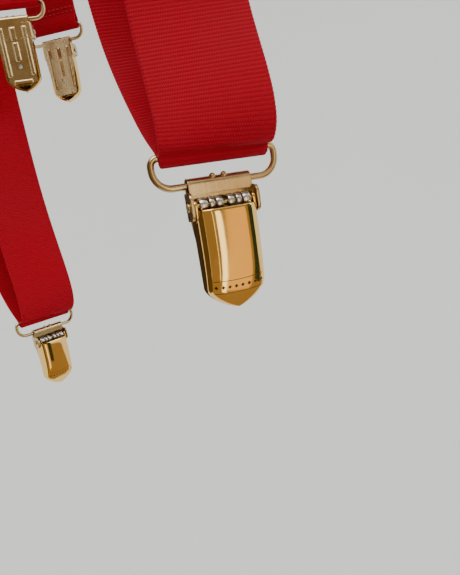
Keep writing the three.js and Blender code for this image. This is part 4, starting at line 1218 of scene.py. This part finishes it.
def hem_stitches(clip):
    """Rows of stitches across the inner face of a back end."""
    middles = np.linspace(-HEM_HALF, HEM_HALF, HEM_COUNT)
    starts, ends = [], []
    for height in HEM_ROWS:
        for y in (-HEM_FACE, HEM_FACE):
            points = np.stack([middles - HEM_STITCH_HALF, np.full(HEM_COUNT, y),
                               np.full(HEM_COUNT, height)], 1)
            starts.append(points)
            ends.append(points + [2 * HEM_STITCH_HALF, 0, 0])
    piece = capsules(f"{clip}_hem_stitches", placed(np.concatenate(starts), AXES[clip]),
                     placed(np.concatenate(ends), AXES[clip]), 0.28 * MM)
    return hand_over(piece, RED_THREAD, "webbing")


for clip in ("back_left", "back_right"):
    hem_stitches(clip)
print("stitches done")

# %% [markdown]
# ## Floor and light
# A wide bowl well below serves as floor and backdrop, so no horizon line shows. The light is soft:
# a pale world, a broad lamp above and a window-like lamp in front. The mirror cover needs
# something to reflect, so a few cards stand beside the camera where only reflections see them.

# %% Floor
FLOOR_Z = CAD_BOX[0][2] - 0.8
BOWL_RADIUS, BOWL_RISE = 2.8, 4.0


def floor_bowl():
    """A round bowl whose height is rise * (radius / full radius)^3, so it has no edge."""
    share = np.linspace(0.004, 1, 60)
    radius, height = BOWL_RADIUS * share, BOWL_RISE * share**3
    angle = np.linspace(0, 2 * np.pi, 96, endpoint=False)[None]
    rings = np.stack([radius[:, None] * np.cos(angle), radius[:, None] * np.sin(angle),
                      FLOOR_Z + height[:, None] + 0 * angle], -1)
    points, faces = tube_part(rings)
    piece = mesh_object("floor", [(points, faces[:-1])])
    piece.data.shade_smooth()
    return piece


floor = floor_bowl()
material, tree, shader, coordinates = new_material("pale floor")
clouds = place(tree, SMUDGES, Vector=coordinates.outputs["Object"], Size=1.2).outputs[0]
tree.links.new(two_colours(tree, clouds, (0.78, 0.785, 0.76), (0.81, 0.81, 0.79)),
               shader.inputs["Base Color"])
shader.inputs["Roughness"].default_value = 0.9
floor.data.materials.append(material)


# %% Lights and cards
def lamp(name, place_at, target, size, power, colour=(1, 1, 1)):
    """A square area lamp that faces a target."""
    data = bpy.data.lights.new(name, "AREA")
    data.shape = "RECTANGLE"
    data.size, data.size_y = size
    data.energy = power
    data.color = colour
    obj = bpy.data.objects.new(name, data)
    bpy.context.scene.collection.objects.link(obj)
    obj.location = place_at
    obj.rotation_euler = (Vector(target) - Vector(place_at)).to_track_quat("-Z", "Y").to_euler()
    return obj


def card(name, place_at, target, size, colour, strength):
    """A glowing or dark card that the camera and shadows don't see, but reflections do."""
    points = np.array([[-1, -1, 0], [1, -1, 0], [1, 1, 0], [-1, 1, 0]], float)
    points *= [size[0] / 2, size[1] / 2, 1]
    turn = (Vector(target) - Vector(place_at)).to_track_quat("Z", "Y")
    moved = np.array([list(turn @ Vector(p) + Vector(place_at)) for p in points])
    obj = mesh_object(name, [(moved, [[0, 1, 2, 3]])])
    material = bpy.data.materials.new(name)
    material.use_nodes = True
    shader = material.node_tree.nodes["Principled BSDF"]
    shader.inputs["Base Color"].default_value = (0, 0, 0, 1)
    shader.inputs["Roughness"].default_value = 1.0
    shader.inputs["Emission Color"].default_value = (*colour, 1)
    shader.inputs["Emission Strength"].default_value = strength
    obj.data.materials.append(material)
    obj.visible_camera = obj.visible_shadow = obj.visible_diffuse = False
    return obj


world = bpy.data.worlds.new("studio")
bpy.context.scene.world = world
world.use_nodes = True
world.node_tree.nodes["Background"].inputs["Color"].default_value = (0.93, 0.96, 1.0, 1)
world.node_tree.nodes["Background"].inputs["Strength"].default_value = 0.75

near_clip = Vector(AXES["front_left"][0]) + Vector((0, 0, -0.025))
lamp("ceiling", (0.5, -0.6, 1.6), (0, 0, -0.5), (1.8, 1.8), 44, (1.0, 0.98, 0.95))
lamp("window", (1.7, 0.9, 0.1), near_clip, (1.2, 1.6), 18, (0.95, 0.98, 1.0))


def beside(side_mm, away_mm, up_mm):
    """A point beside the near clip: right of the view, towards the camera, and up."""
    to_camera = Vector((math.sin(azimuth), -math.cos(azimuth), 0))
    to_right = Vector((math.cos(azimuth), math.sin(azimuth), 0))
    return near_clip + (to_right * side_mm + to_camera * away_mm) * MM + Vector((0, 0, up_mm * MM))


card("brown_wall", beside(150, 620, 40), near_clip, (1.8, 1.4), (0.36, 0.25, 0.12), 0.9)
card("brown_table", beside(150, 330, -420), near_clip, (1.6, 0.9), (0.4, 0.26, 0.11), 0.9)
card("window_card", beside(185, 330, -110), near_clip, (0.06, 0.58), (1.0, 0.95, 0.82), 2.8)
card("slit_card", beside(100, 330, -40), near_clip, (0.012, 0.4), (1.0, 0.9, 0.7), 2.0)
card("warm_card", beside(300, 320, -120), near_clip, (0.12, 0.62), (1.0, 0.62, 0.24), 1.15)
card("dark_card_left", beside(-150, 40, 0), near_clip, (0.2, 0.34), (0.2, 0.12, 0.05), 0.5)
card("dark_card_behind", beside(-45, -60, -2), near_clip, (0.08, 0.09), (0.1, 0.06, 0.03), 0.4)
card("dark_card_right", beside(330, 130, 0), near_clip, (0.14, 0.6), (0.03, 0.07, 0.05), 0.6)
print("stage ready")
